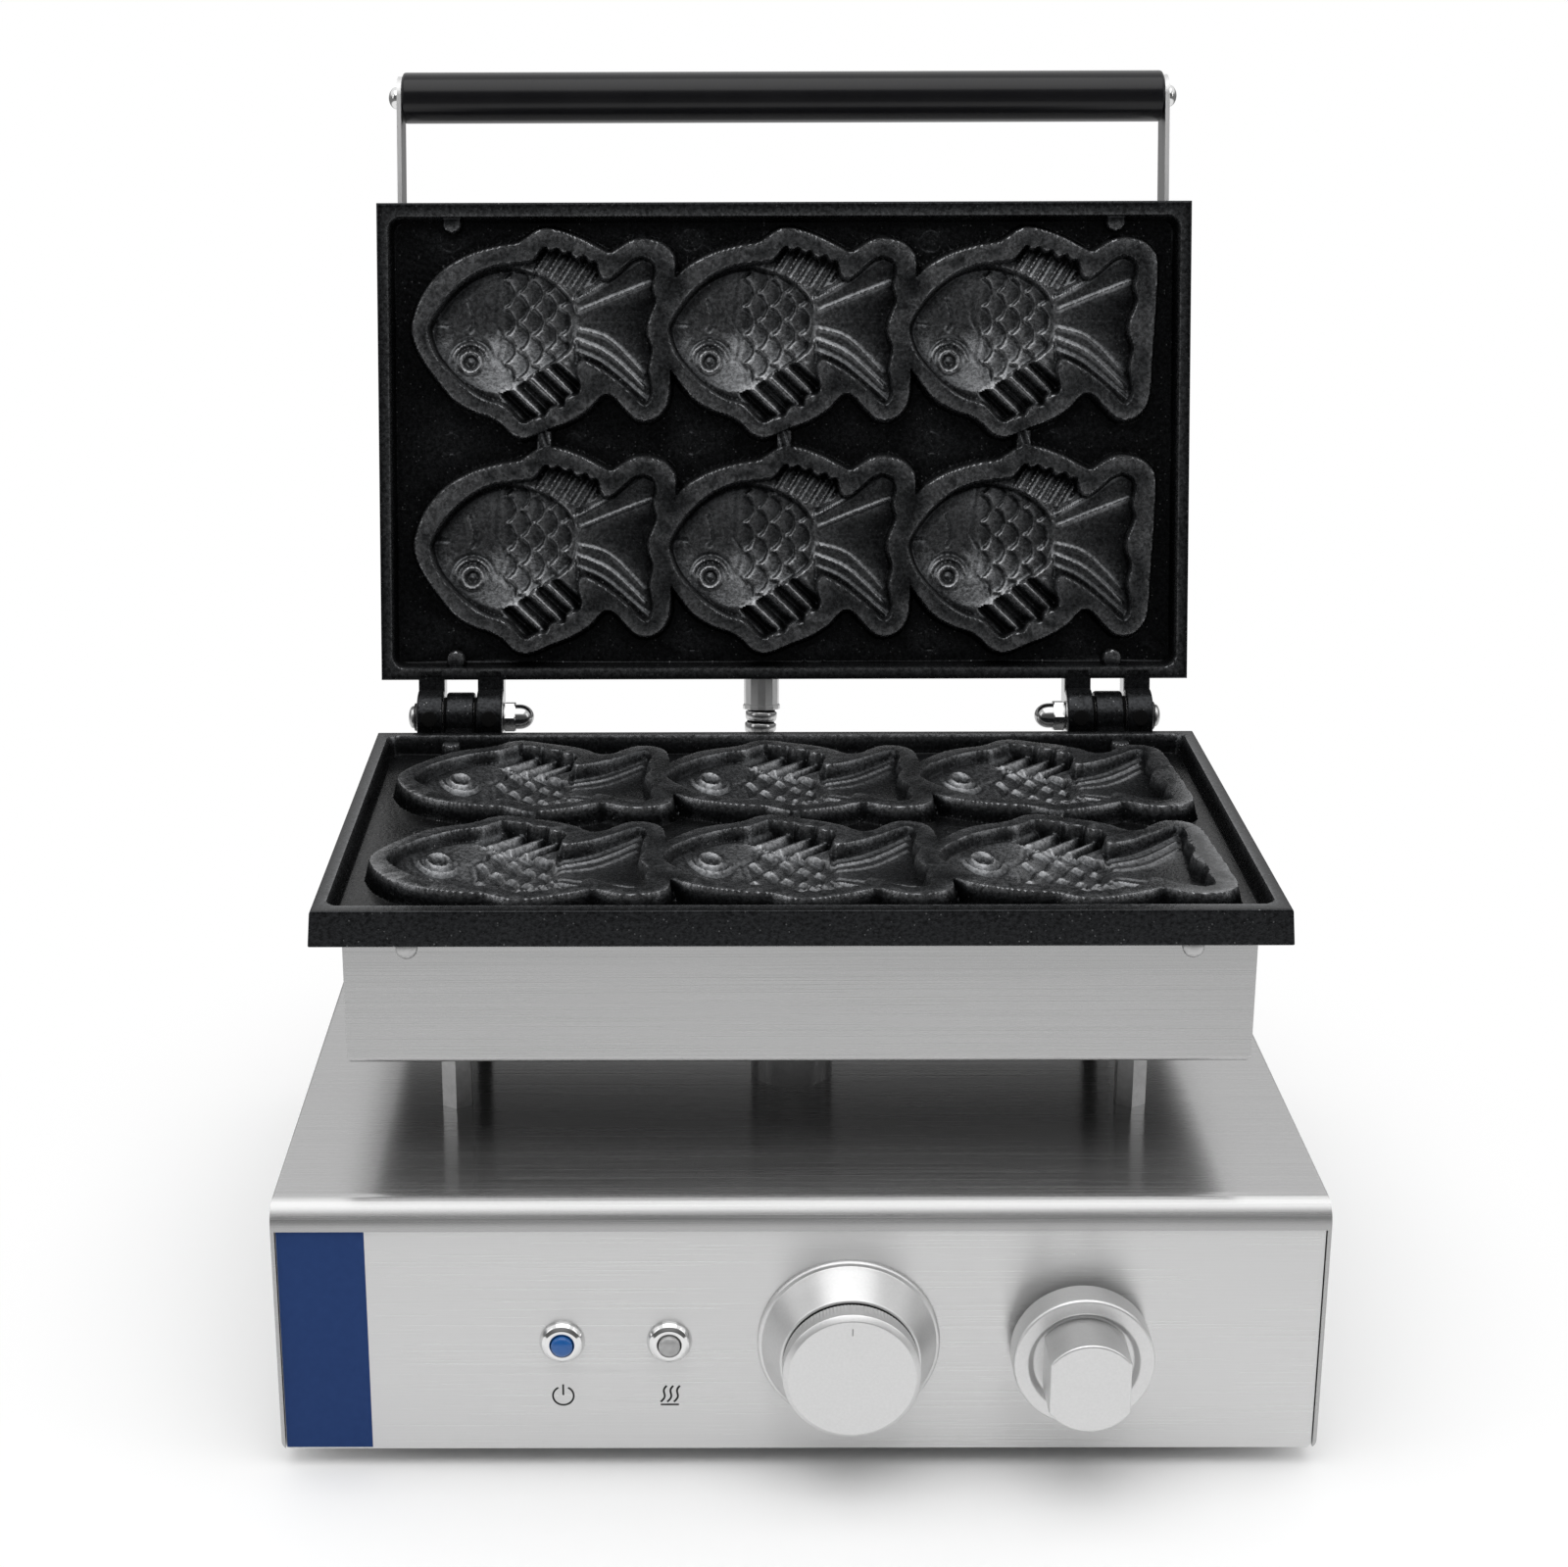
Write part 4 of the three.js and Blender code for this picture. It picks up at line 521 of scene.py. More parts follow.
def distance(x, v, line, closed=True):
    """Distance to a line; for a closed one it is positive inside and negative outside."""
    best = np.full(x.shape, 1e9)
    inside = np.zeros(x.shape, bool)
    count = len(line)
    for i in range(count if closed else count - 1):
        ax, av = line[i]
        bx, bv = line[(i + 1) % count]
        dx, dv = bx - ax, bv - av
        t = np.clip(((x - ax) * dx + (v - av) * dv) / (dx * dx + dv * dv), 0, 1)
        best = np.minimum(best, (x - ax - t * dx) ** 2 + (v - av - t * dv) ** 2)
        if closed and av != bv:
            inside ^= ((av > v) != (bv > v)) & (x < dx * (v - av) / dv + ax)
    away = np.sqrt(best)
    return np.where(inside, away, -away) if closed else away


def to_curve(x, v, points, closed=False):
    """Distance to the smooth line through the points."""
    return distance(x, v, spline(points, closed), closed)


def ease(t):
    t = np.clip(t, 0, 1)
    return t * t * (3 - 2 * t)


def band(t, low, high, fade):
    """1 between two limits, fading to 0 at both."""
    return ease((t - low) / fade) * ease((high - t) / fade)


def steep(t):
    """0 to 1 along a nearly straight wall with a tight round at both ends."""
    return np.clip(1.3 * t - 0.12, 0, 1) * 0.75 + ease(t) * 0.25


def bell(t, width):
    return np.exp(-(t / width) ** 2)


def blurred(a):
    p = np.pad(a, 1, mode="edge")
    return (p[1:-1, 1:-1] * 4 + (p[:-2, 1:-1] + p[2:, 1:-1] + p[1:-1, :-2] + p[1:-1, 2:]) * 2
            + p[:-2, :-2] + p[:-2, 2:] + p[2:, :-2] + p[2:, 2:]) / 16


def scale_relief(x, v):
    """Scales that overlap, each 0 at its front and 1 at its rounded rear edge."""
    first_x, first_v, pitch_x, pitch_v = -19, 92, 13, 6.5
    radius, set_back, narrow = 7.4, 2.5, 1.08
    out = np.full(x.shape, 0.5)
    centres = [(first_x + pitch_x * i + (pitch_x / 2 if j % 2 else 0), first_v - pitch_v * j)
               for i in range(4) for j in range(10)]
    for cx, cv in sorted(centres, reverse=True):
        along, across = x - cx + set_back, v - cv
        reach = np.sqrt(along ** 2 + (across * narrow) ** 2)
        out = np.where(reach < radius, (along / radius + 1) / 2, out)
    return out


def bowl_depth(x, v, body):
    """The flank: a dome with a slope at the body's edge, tipped under the mouth."""
    middle_x, middle_v, reach_x, reach_v, crown, blunt = -15, 66, 39, 34, 1.12, 0.05
    edge_width, join, rim_depth, swell = 9, 0.01, 4.6, 9.2
    mouth_v, bend, tip, tip_reach, lift = 63, 9, 0.085, 14, 0.8
    dome = crown - np.sqrt(((x - middle_x) / reach_x) ** 2 + ((v - middle_v) / reach_v) ** 2 + blunt)
    slope = 1 - (1 - np.clip(body / edge_width, 0, 1)) ** 2
    bowl = rim_depth + swell * (dome + slope - np.sqrt((dome - slope) ** 2 + join)) / 2
    jaw = ease((68 - v) / 12) * ease((-12 - x) / 14)
    under_mouth = (mouth_v - v + np.sqrt((mouth_v - v) ** 2 + bend)) / 2
    return bowl - tip * jaw * np.minimum(under_mouth, tip_reach) + lift * jaw


def top_fin_depth(x, v):
    """Fine ridges across a floor that rises towards the body."""
    way_x, way_v, ridge_pitch, depth, rise = 0.85, 0.54, 5.3, 4.3, 0.14
    coarse, fine = 0.42, 0.5
    turns = 2 * pi * (way_x * x - way_v * v + 51.2) / ridge_pitch
    return depth + rise * (way_v * x + way_x * v - 71) - fine * np.cos(2 * turns) - coarse * np.cos(turns)


def low_fin_depth(x, v):
    """Four deep pockets between sharp ridges."""
    depth, crest_height, crest_width = 4.6, 0.5, 0.07
    way = np.interp(0.69 * x + 0.72 * v, BOTTOM_RIDGES, range(5))
    pockets = 0.5 - 0.5 * np.cos(2 * pi * way)
    crest = bell(way - np.round(way), crest_width)
    return depth + depth * pockets ** 0.8 + crest_height * crest


def fin_depth(x, v, body):
    """Depth beside the body: tail with its ribs, top fin and low fin."""
    plain_depth, tail_depth, tail_swell, tail_v, tail_reach = 5.3, 3.7, 2.7, 62, 34
    on_tail = x > 13
    tail = tail_depth + tail_swell * (1 - np.clip(((v - tail_v) / tail_reach) ** 2, 0, 1))
    floor = np.where(x > 14, tail, plain_depth)
    fin = ease((to_curve(x, v, TOP_FIN, True) + 0.3) / 1.2)
    floor = floor * (1 - fin) + top_fin_depth(x, v) * fin
    low_fin = ease((47.5 - v) / 2) * ease((17.5 - x) / 1.5) * ease((x + 22) / 2) * (body < 1.5)
    floor = floor * (1 - low_fin) + low_fin_depth(x, v) * low_fin
    for line, height in TAIL_RIBS:
        floor = floor - height * bell(to_curve(x, v, line), 0.95) * ease((x - 13.5) / 3) * on_tail
    floor = floor + 0.7 * bell(to_curve(x, v, TAIL_GROOVE), 0.8) * on_tail
    return floor - 0.6 * bell(x - 13.2 - 0.0024 * (v - 61) ** 2, 1.1) * band(v, 45, 78, 3)


def with_scales(x, v, body, deep):
    """Adds the scales, the groove along the gill and two at the root of the tail."""
    scale_rise, scale_height, deepest = 2.2, 3.9, 13.7
    gill = x - np.interp(v, GILL_V, GILL_X)
    share = ease(gill / 1.3) * ease((13.5 - x) / 1.5) * ease((body - 0.5) / 2.5)
    deep = np.minimum(deep - share * (scale_rise - scale_height * blurred(scale_relief(x, v))), deepest)
    deep = deep + 0.5 * bell(gill + 1.2, 1.2) * ease((body - 1) / 2)
    return deep + band(v, 45, 79, 4) * (0.45 * bell(x - 10.4, 0.7) + 0.5 * bell(x - 15.6, 0.7))


def with_face(x, v, deep):
    """Adds the eye, the brow over it, the short cheek line and the mouth."""
    ring_radius, pupil_radius, cheek_step = 4.6, 3.3, 1.5
    brow_folds = ((0.9, 6.7, 0.7), (-0.8, 8.2, 0.75), (1.1, 10.2, 1.1))
    r = np.hypot(x - EYE[0], (v - EYE[1]) * 0.97)
    brow = ease((v - EYE[1] + 1.5) / 4) * bell(x - EYE[0], 11)
    deep = deep - bell(r - ring_radius, 0.85) + 1.5 * ease(pupil_radius - r) - 0.8 * bell(r, 1)
    deep = deep + brow * sum(depth * bell(r - radius, width) for depth, radius, width in brow_folds)
    deep = deep - 0.6 * bell(to_curve(x, v, CHEEK_LINE), 0.6)
    deep = deep + 0.6 * bell(to_curve(x - cheek_step, v, CHEEK_LINE), 0.8)
    return deep + 0.9 * np.exp(-distance(x, v, MOUTH, False) / 1.1)


def fish_depth(x, v):
    """Depth of one mould below the mating face; the ground round the cup is RECESS deep."""
    cup_wall, cavity_wall, body_edge = 2.6, 1.9, 2.5
    body, inside = to_curve(x, v, BODY, True), to_curve(x, v, CAVITY, True)
    ground = RECESS * steep(-to_curve(x, v, CUP, True) / cup_wall)
    floor, share = fin_depth(x, v, body), ease(body / body_edge)
    bowl = np.maximum(floor * (1 - share) + bowl_depth(x, v, body) * share, 0)
    deep = with_face(x, v, with_scales(x, v, body, np.where(body > 0, bowl, floor)))
    return ground, deep * ease(inside / cavity_wall), inside


def tray_depth(x, v):
    """The recess inside the plate's rim, with rounded corners."""
    rim, front_rim, corner, wall = 5.2, 6.2, 6, 3
    corner_x = np.abs(x) - (PLATE_HALF - rim - corner)
    corner_v = np.maximum(rim + corner - v, v - (PLATE_DEPTH - front_rim - corner))
    outside = np.hypot(np.maximum(corner_x, 0), np.maximum(corner_v, 0))
    sides = corner - outside - np.minimum(np.maximum(corner_x, corner_v), 0)
    return RECESS * steep((sides + 0.2) / wall)


def plate_relief(xs, vs):
    """Depth of the whole mating face, and how far each point lies in a mould."""
    x, v = np.meshgrid(xs, vs)
    depth = tray_depth(x, v)
    mouldwise = np.zeros(depth.shape)
    fx = np.arange(-110, 111) * GRID_X
    fv = FIRST_ROW + np.arange(-84, 85) * GRID_V
    ground, mould, inside = fish_depth(*np.meshgrid(fx, fv))
    for row in range(2):
        for column in range(3):
            i = int(round(((column - 1) * FISH_PITCH + fx[0] - xs[0]) / GRID_X))
            j = int(round((row * ROW_PITCH + fv[0] - vs[0]) / GRID_V))
            cut = (slice(j, j + len(fv)), slice(i, i + len(fx)))
            depth[cut] = np.where(inside > 0, mould, np.minimum(depth[cut], ground))
            mouldwise[cut] = np.maximum(mouldwise[cut], ease(inside / 2))
    return with_marks(x, v, depth), mouldwise


def with_marks(x, v, depth):
    """Adds webs between the rows of cups, four bosses at the rim and ejector circles."""
    web_half_x, web_half_v, web_depth, wave = 3, 5, 1.2, 0.5
    boss_x, boss_inset, boss_radius, boss_depth, wall = 153, 9, 4, 2.5, 1.2
    ring_radius, ring_width, ring_depth, ground_from = 5, 0.35, 0.3, 8
    for column in (-1, 0, 1):
        off_x, off_v = np.abs(x - column * FISH_PITCH), np.abs(v - PLATE_DEPTH / 2)
        web = np.maximum(off_x - web_half_x, off_v - web_half_v)
        level = web_depth + wave * np.sin(1.9 * x + 0.6 * v) + RECESS * ease(web / 1.9)
        depth = np.where((web < 1.6) & (depth > level), level, depth)
    for _, sign in SIDES:
        for place in (boss_inset, PLATE_DEPTH - boss_inset):
            away = np.hypot(x - sign * boss_x, v - place)
            boss = boss_depth + RECESS * ease((away - boss_radius) / wall)
            depth = np.where(away < boss_radius + wall, np.minimum(depth, boss), depth)
    floor = ease((depth - ground_from) / 0.4)
    for ex, ev in EJECTORS:
        depth = depth + floor * ring_depth * bell(np.hypot(x - ex, v - ev) - ring_radius, ring_width)
    return depth


def painted_light_share(depth, mouldwise):
    """Painted light share: low in a hollow as painted shade, higher on a cup or in a mould, highest on an
    edge that stands out as painted highlight.
    """
    ground, cup, mould, full_step = 0.23, 0.05, 0.49, 3.6
    wide = depth
    for step in (1, 2, 4, 6):
        p = np.pad(wide, step, mode="edge")
        wide = (p[step:-step, step:-step] * 2 + p[:-2 * step, step:-step] + p[2 * step:, step:-step]
                + p[step:-step, :-2 * step] + p[step:-step, 2 * step:]) / 6
    # Moulds are set lighter than the ground, and each point lighter or darker by how far it stands above
    # its blurred surroundings: painted highlight and painted shade.
    level = ground + cup * ease((depth - 2) / 5) * (1 - mouldwise) + mould * mouldwise
    return np.clip(level + (wide - depth) / full_step, 0, 1)


XS = np.arange(-311, 312) * GRID_X
VS = FIRST_ROW + np.arange(-94, 255) * GRID_V
RELIEF, MOULDWISE = plate_relief(XS, VS)
RIMS = ((187, 0.05), (187.32, 0.3), (187.5, 0.8), (188.42, 13.6), (188.3, 14.1), (187.9, 14.4))


def plate_block(sign):
    """Relief on the mating face, drafted sides, plain back."""
    wide, deep = len(XS), len(VS)
    x, v = np.meshgrid(XS, VS)
    points = [np.stack([x.ravel(), -v.ravel(), -sign * RELIEF.ravel()], 1)]
    index = np.arange(wide * deep).reshape(deep, wide)
    quads = np.stack([index[:-1, :-1], index[:-1, 1:], index[1:, 1:], index[1:, :-1]], -1).reshape(-1, 4)
    edge = np.concatenate([index[0, :], index[1:, -1], index[-1, -2::-1], index[-2:0:-1, 0]])
    ring_x, ring_v = x.ravel()[edge], v.ravel()[edge]
    faces = [quads]
    start, last = wide * deep, edge
    for half, depth in RIMS:
        grow = half - PLATE_HALF
        rx = np.where(np.abs(ring_x) == XS[-1], np.sign(ring_x) * half, ring_x)
        rv = np.where(ring_v == VS[0], -grow, np.where(ring_v == VS[-1], PLATE_DEPTH + grow, ring_v))
        points.append(np.stack([rx, -rv, np.full(rx.shape, -sign * depth)], 1))
        now = start + np.arange(len(edge))
        faces.append(np.stack([last, np.roll(last, -1), np.roll(now, -1), now], 1))
        start, last = start + len(edge), now
    points.append(np.array([[0, -PLATE_DEPTH / 2, -sign * PLATE_THICK]]))
    fan = np.stack([last, np.roll(last, -1), np.full(len(last), start)], 1)
    return np.concatenate(points), np.concatenate(faces), fan


def hinge_eye(centre, radius, sign):
    """Side outline of a hinge eye, in (y, z) of the plate and anticlockwise."""
    overlap, sunk = 4, 0.5
    root = (0, -sign * (PLATE_THICK - sunk))
    line = [(-overlap, 0), (-overlap, root[1]), root]
    to_root = np.array(root) - (HINGE_OFFSET, centre)
    reach = np.linalg.norm(to_root)
    tangent = atan2(to_root[1], to_root[0]) + sign * acos(radius / reach)
    meeting = pi + sign * asin(centre * sign / radius)
    span = (meeting - tangent) % (sign * 2 * pi)
    line += arc(HINGE_OFFSET, centre, radius, tangent, tangent + span, 28)
    return line if sign > 0 else line[::-1]


SIDE_TO_X = Matrix(((0, 0, 1, 0), (1, 0, 0, 0), (0, 1, 0, 0), (0, 0, 0, 1)))
# Near-black collar that fills the opening between lug and ear: painted shade.
GAP_SHADE_COLLAR = [(4.6, 0), (9.2, 0), (9.2, 1.1), (4.6, 1.1), (4.6, 0)]
PLUG = [(0, 0.35), (3.2, 0.35), (3.6, 0.15), (3.6, -1.5)]


def add_casting(name, sign, matrix, body):
    """One plate as a thinned mesh that carries the painted light share for its coating."""
    points, quads, fan = plate_block(sign)
    turned = np.array(matrix)
    points = points @ turned[:3, :3].T + turned[:3, 3]
    mesh = bpy.data.meshes.new(name)
    mesh.from_pydata(points.tolist(), [], quads.tolist() + fan.tolist())
    mesh.update()
    # The plate's sides get one even level of painted light.
    share = np.full(len(points), SIDE_PAINTED_LIGHT, np.float32)
    share[:RELIEF.size] = painted_light_share(RELIEF, MOULDWISE).ravel()
    set_painted_light(mesh, share)
    obj = add_object(name, mesh)
    if sign > 0:
        mesh.flip_normals()
    thin = obj.modifiers.new("thin", "DECIMATE")
    thin.ratio = 0.44
    graph = bpy.context.evaluated_depsgraph_get()
    fine = bpy.data.meshes.new_from_object(obj.evaluated_get(graph))
    obj.modifiers.clear()
    obj.data = fine
    bpy.data.meshes.remove(mesh)
    fine.name = name
    fine.shade_smooth()
    fine.set_sharp_from_angle(angle=radians(38))
    fine.materials.append(CAST)
    weigh(obj)
    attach(obj, body)
    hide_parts(name.replace("_casting", ""))


def add_eyes(name, sign, matrix, body, spans, centre, radius, machined):
    """A plate's hinge eyes with machined cheeks, and near-black collars or a near-black plug on each; the
    collars fill the openings beside the eyes as painted shade.
    """
    bevel, proud, thick = 1.1, 0.02, 0.06
    outline = hinge_eye(centre, radius, sign)
    cheek = list(inset(outline, 2))
    sideways = matrix @ SIDE_TO_X
    shapes = []
    for (low, high), bright in zip(spans, machined):
        shapes.append((slab(outline, low, high, bevel), sideways))
        for side in bright:
            face = low - proud if side < 0 else high + proud
            disc = slab(cheek, *sorted((face, face + side * thick)), proud, 1)
            shapes.append((disc, sideways, 1))
        if sign < 0:
            middle = matrix @ move((low + high) / 2, HINGE_OFFSET, centre - radius)
            shapes.append((lathe(PLUG, 32), middle @ Matrix.Rotation(pi, 4, "X"), 2))
        else:
            for side, face in ((-1, low), (1, high)):
                where = matrix @ move(face, HINGE_OFFSET, centre) @ outwards(side)
                shapes.append((lathe(GAP_SHADE_COLLAR, 40), where, 2))
    piece(name, shapes, [CAST, MACHINED, PAINTED_SHADE], body)


LUGS = [(s * HINGE_X - LUG_HALF, s * HINGE_X + LUG_HALF) for _, s in SIDES]
EARS = [(s * HINGE_X + k - EAR_HALF, s * HINGE_X + k + EAR_HALF)
        for _, s in SIDES for k in (-EAR_SHIFT, EAR_SHIFT)]
LUG_CHEEKS, EAR_CHEEKS = [(-1, 1), (-1, 1)], [(1,), (-1, 1), (-1, 1), (-1,)]
add_casting("lower_plate_casting", 1, LOWER, "base")
add_eyes("lower_plate_hinge_eyes", 1, LOWER, "base", LUGS, HINGE_RISE, LUG_RADIUS, LUG_CHEEKS)
add_casting("upper_plate_casting", -1, UPPER, "lid")
add_eyes("upper_plate_hinge_eyes", -1, UPPER, "lid", EARS, HINGE_RISE - UPPER_LIFT, EAR_RADIUS, EAR_CHEEKS)


# Hinge bolts, washers and acorn nuts
def hex_nut(flats, low, high):
    """A hexagon whose corners are turned down at both ends."""
    radius, chamfer, count = flats / 2 / cos(pi / 6), 0.6, 36
    rings = [(flats / 2, low), (radius, low + chamfer), (radius, high - chamfer), (flats / 2, high)]
    points = []
    for limit, height in rings:
        for k in range(count):
            angle = 2 * pi * k / count
            edge = flats / 2 / cos((angle % (pi / 3)) - pi / 6)
            points.append((*polar(min(edge, limit), angle), height))
    return points, ring_faces(len(rings), count, True)


def dome(radius, rim, height, depth, sides=40):
    """A pan head with a short side wall on a shank."""
    shank = radius * 0.45
    line = [(0, -depth), (shank, -depth), (shank, 0), (radius, 0)]
    return lathe(line + sphere_cap(radius, rim, height - rim, 7), sides)


EAR_OUTSIDE = EAR_SHIFT + EAR_HALF
WASHER_THICK, WASHER_RADIUS, WASHER_BORE, BOLT_GAP = 1.6, 6.5, 4.3, 0.6
BOLT_RADIUS, BOLT_HEAD_RADIUS, BOLT_LENGTH = 4, 5.2, 20
NUT_FLATS, NUT_HEIGHT, CAP_RADIUS, CAP_WALL, CAP_DOME = 13, 5.5, 5.8, 7.2, 6.6

for side, sign in SIDES:
    axle = HINGE @ move(sign * HINGE_X) @ outwards(sign)
    back = HINGE @ move(sign * HINGE_X) @ outwards(-sign)
    head_seat = EAR_OUTSIDE + BOLT_GAP + WASHER_THICK
    tip = -head_seat - BOLT_LENGTH
    head = [(0, tip), (BOLT_RADIUS, tip), (BOLT_RADIUS, 0), (BOLT_HEAD_RADIUS, 0)]
    head += sphere_cap(BOLT_HEAD_RADIUS, 0.5, 2.1, 7)
    head = lathe(head, 40)
    stand_in(f"{side}_hinge_bolt", [(head, axle @ move(0, 0, head_seat))], [ZINC], "lid")
    seat = EAR_OUTSIDE + FIT_GAP
    far = seat + WASHER_THICK
    ring = softened([(WASHER_BORE, seat), (WASHER_RADIUS, seat), (WASHER_RADIUS, far), (WASHER_BORE, far)],
                    0.3)
    ring = lathe(ring + [ring[0]], 40)
    stand_in(f"{side}_hinge_washer", [(ring, axle)], [BLACK_SATIN], "lid")
    cap = [(0, seat), (CAP_RADIUS, seat), (CAP_RADIUS, seat + NUT_HEIGHT)]
    cap += sphere_cap(CAP_RADIUS, seat + CAP_WALL, CAP_DOME, 8)
    cap[-1] = (0, cap[-1][1])
    nut = hex_nut(NUT_FLATS, seat, seat + NUT_HEIGHT)
    piece(f"{side}_acorn_nut_turned", [(nut, back), (lathe(cap, 40), back)], [NICKEL], "lid",
          f"{side}_hinge_acorn_nut")


# Handle, with its screw heads as radius, side wall, height and depth of the shank
GRIP_SCREW, ARM_SCREW, CASING_SCREW = (5, 0.8, 4.4, 14), (4.2, 0.6, 2.6, 7), (4.2, 0.6, 2.4, 7)
grip_line = [(0, -GRIP_HALF), (GRIP_RADIUS, -GRIP_HALF), (GRIP_RADIUS, GRIP_HALF), (0, GRIP_HALF)]
grip = lathe(softened(grip_line, 1.6, 4), 72)
where = UPPER @ move(0, -GRIP_PLACE, ARM_HEIGHT) @ TO_PLUS_X
piece("grip_moulded", [(grip, where)], [BLACK_GLOSS], "lid", "handle_grip")
for side, sign in SIDES:
    seat = UPPER @ move(sign * ARM_OUTSIDE, 0, ARM_HEIGHT)
    where = seat @ move(0, -GRIP_PLACE) @ outwards(sign)
    stand_in(f"{side}_grip_screw", [(dome(*GRIP_SCREW), where)], [POLISHED], "lid")
    for i, place in enumerate(ARM_SCREWS):
        where = seat @ move(0, -place) @ outwards(sign)
        stand_in(f"{side}_arm_screw_{i + 1}", [(dome(*ARM_SCREW), where)], [ZINC], "lid")

# Casing screws
CASING_ENDS = (("front", -CASING_FRONT - FIT_GAP, TO_MINUS_Y), ("rear", -CASING_REAR + FIT_GAP, TO_PLUS_Y))
for prefix, matrix, up, body in (("lower", LOWER, -1, "base"), ("upper", UPPER, 1, "lid")):
    for side, sign in SIDES:
        for end, place, turn in CASING_ENDS:
            where = matrix @ move(sign * SCREW_X, place, up * SCREW_DROP) @ turn
            screw = (dome(*CASING_SCREW), where)
            stand_in(f"{prefix}_screw_{end}_{side}", [screw], [ZINC], body)

# Feet, post and cable gland of the base
foot = lathe(softened([(0, 0), (9.5, 0), (11, 9.8), (0, 9.8)], 0.8), 48)
for end, y in FOOT_PLACES:
    for side, sign in SIDES:
        stand_in(f"foot_{end}_{side}", [(foot, BASE @ move(sign * FOOT_X, y))], [RUBBER], "base",
                 "moulded")
post = [(17.4, BASE_TOP), (17.4, 160), (15.9, 160), (15.9, BASE_TOP), (17.4, BASE_TOP)]
stand_in("wire_post", [(lathe(post, 72), BASE @ move(0, POST_Y))], [TURNED], "base")
gland = softened([(4.6, 339.5), (8, 339.5), (8, 350.3), (12, 350.3), (12, 355.3), (10, 355.6), (9.3, 357),
                  (6, 364.3), (4.6, 364.3), (4.6, 339.5)], 0.5)
where = BASE @ move(GLAND_X, 0, GLAND_Z) @ TO_PLUS_Y
stand_in("cable_gland", [(lathe(gland, 48), where)], [BLACK_SATIN], "base", "moulded")

# Lamps
LENS_RADIUS, LENS_RISE, LENS_DOME = 4.25, 4, 2.1
bezel = [(4.55, -16), (4.55, 3.1), (4.75, 3.55), (5.3, 3.75), (6.4, 3.6), (7.8, 2.7), (8.7, 1.4), (9, 0.3),
         (9, 0.02), (6, 0), (6, -16), (4.55, -16)]
bezel = lathe(softened(bezel, 0.25), 64)
lens = [(0, -15.5), (LENS_RADIUS, -15.5), (LENS_RADIUS, LENS_RISE)]
lens = lathe(lens + sphere_cap(LENS_RADIUS, LENS_RISE, LENS_DOME, 8), 48)
LAMPS = (("power", POWER_X, BLUE_LENS, "blue_lens"), ("heat", HEAT_X, CLEAR_LENS, "clear_lens"))
for name, x, look, slot in LAMPS:
    where = CONTROLS @ move(x) @ TO_MINUS_Y
    piece(f"{name}_bezel_turned", [(bezel, where)], [POLISHED], "base", f"{name}_lamp_bezel")
    piece(f"{name}_lens_moulded", [(lens, where)], [look], "base", f"{name}_lamp_lens")

# Timer and thermostat knobs, as radius and height above the panel
where = CONTROLS @ move(TIMER_X) @ TO_MINUS_Y
cone = [(34, 0.02), (35.8, 0.02), (35.8, 1.5), (35.1, 2.3), (34.1, 2.6), (27.4, 16.2), (26.9, 16.6),
        (25.6, 16.6), (25.2, 15.8), (25.4, 0.5), (34, 0.02)]
# A near-black ring between the bezel and the knob: painted shade where the two leave an opening.
gap_shade_ring = [(22, 16), (25.3, 16), (26.3, 16.55), (26.3, 17.3), (22, 17.3), (22, 16)]
cone = lathe(softened(cone, 0.4), 96)
stand_in("timer_bezel", [(cone, where), (lathe(gap_shade_ring, 96), where, 1)], [KNOB, PAINTED_SHADE], "base")
KNOB_TOP, KNURL_DEPTH, KNURL_LOW, KNURL_HIGH = 27.45, 0.22, 17.9, 25.2
knob = [(0, -14), (3, -14), (3, 6), (9, 6), (9, 17.4), (25.9, 17.4), (26.4, 17.9), (26.5, 18.2), (26.5, 20),
        (26.5, 24.5), (26.5, 25.6), (26.15, 26), (24.7, 27.25), (24.2, KNOB_TOP), (0, KNOB_TOP)]
knob = lathe(knob, 240, (KNURL_DEPTH, KNURL_LOW, KNURL_HIGH))
stand_in("timer_knob", [(knob, where)], [KNOB], "timer_knob", angle=30)
where = CONTROLS @ move(THERMOSTAT_X) @ TO_MINUS_Y
skirt = softened([(0, -14), (3, -14), (3, 4.3), (26.3, 4.3), (27.4, 5.4), (27.4, 16.3), (26.6, 17.2),
                  (21.6, 17.2), (19.6, 14.8), (0, 14.8)], (0, 0, 0, 0.5, 0.5, 0.6, 0.5, 0.5))
WING_RADIUS, WING_HALF, WING_LOW, WING_HIGH = 18.6, 15.5, 14.3, 35.1
flat = acos(WING_HALF / WING_RADIUS)
wing = [point for start in (0, pi)
        for point in arc(0, 0, WING_RADIUS, start + flat, start + pi - flat, 22)]
wing = slab(wing, WING_LOW, WING_HIGH, 1)
skirt = lathe(skirt, 96)
stand_in("thermostat_knob", [(skirt, where), (wing, where)], [KNOB], "thermostat_knob")


# Flat prints on the panel and on the timer knob
def ribbon(line, width, thick=0.05):
    """A printed line of that width, lying in XZ just proud of the panel."""
    pts = np.array(line, float)
    way = unit(np.gradient(pts, axis=0))
    side = np.stack([-way[:, 1], way[:, 0]], 1) * width / 2
    points = []
    for (x, z), (sx, sz) in zip(pts, side):
        points += [(x + sx * k, y, z + sz * k) for k, y in ((1, 0), (-1, 0), (-1, -thick), (1, -thick))]
    return points, ring_faces(len(pts), 4, True)


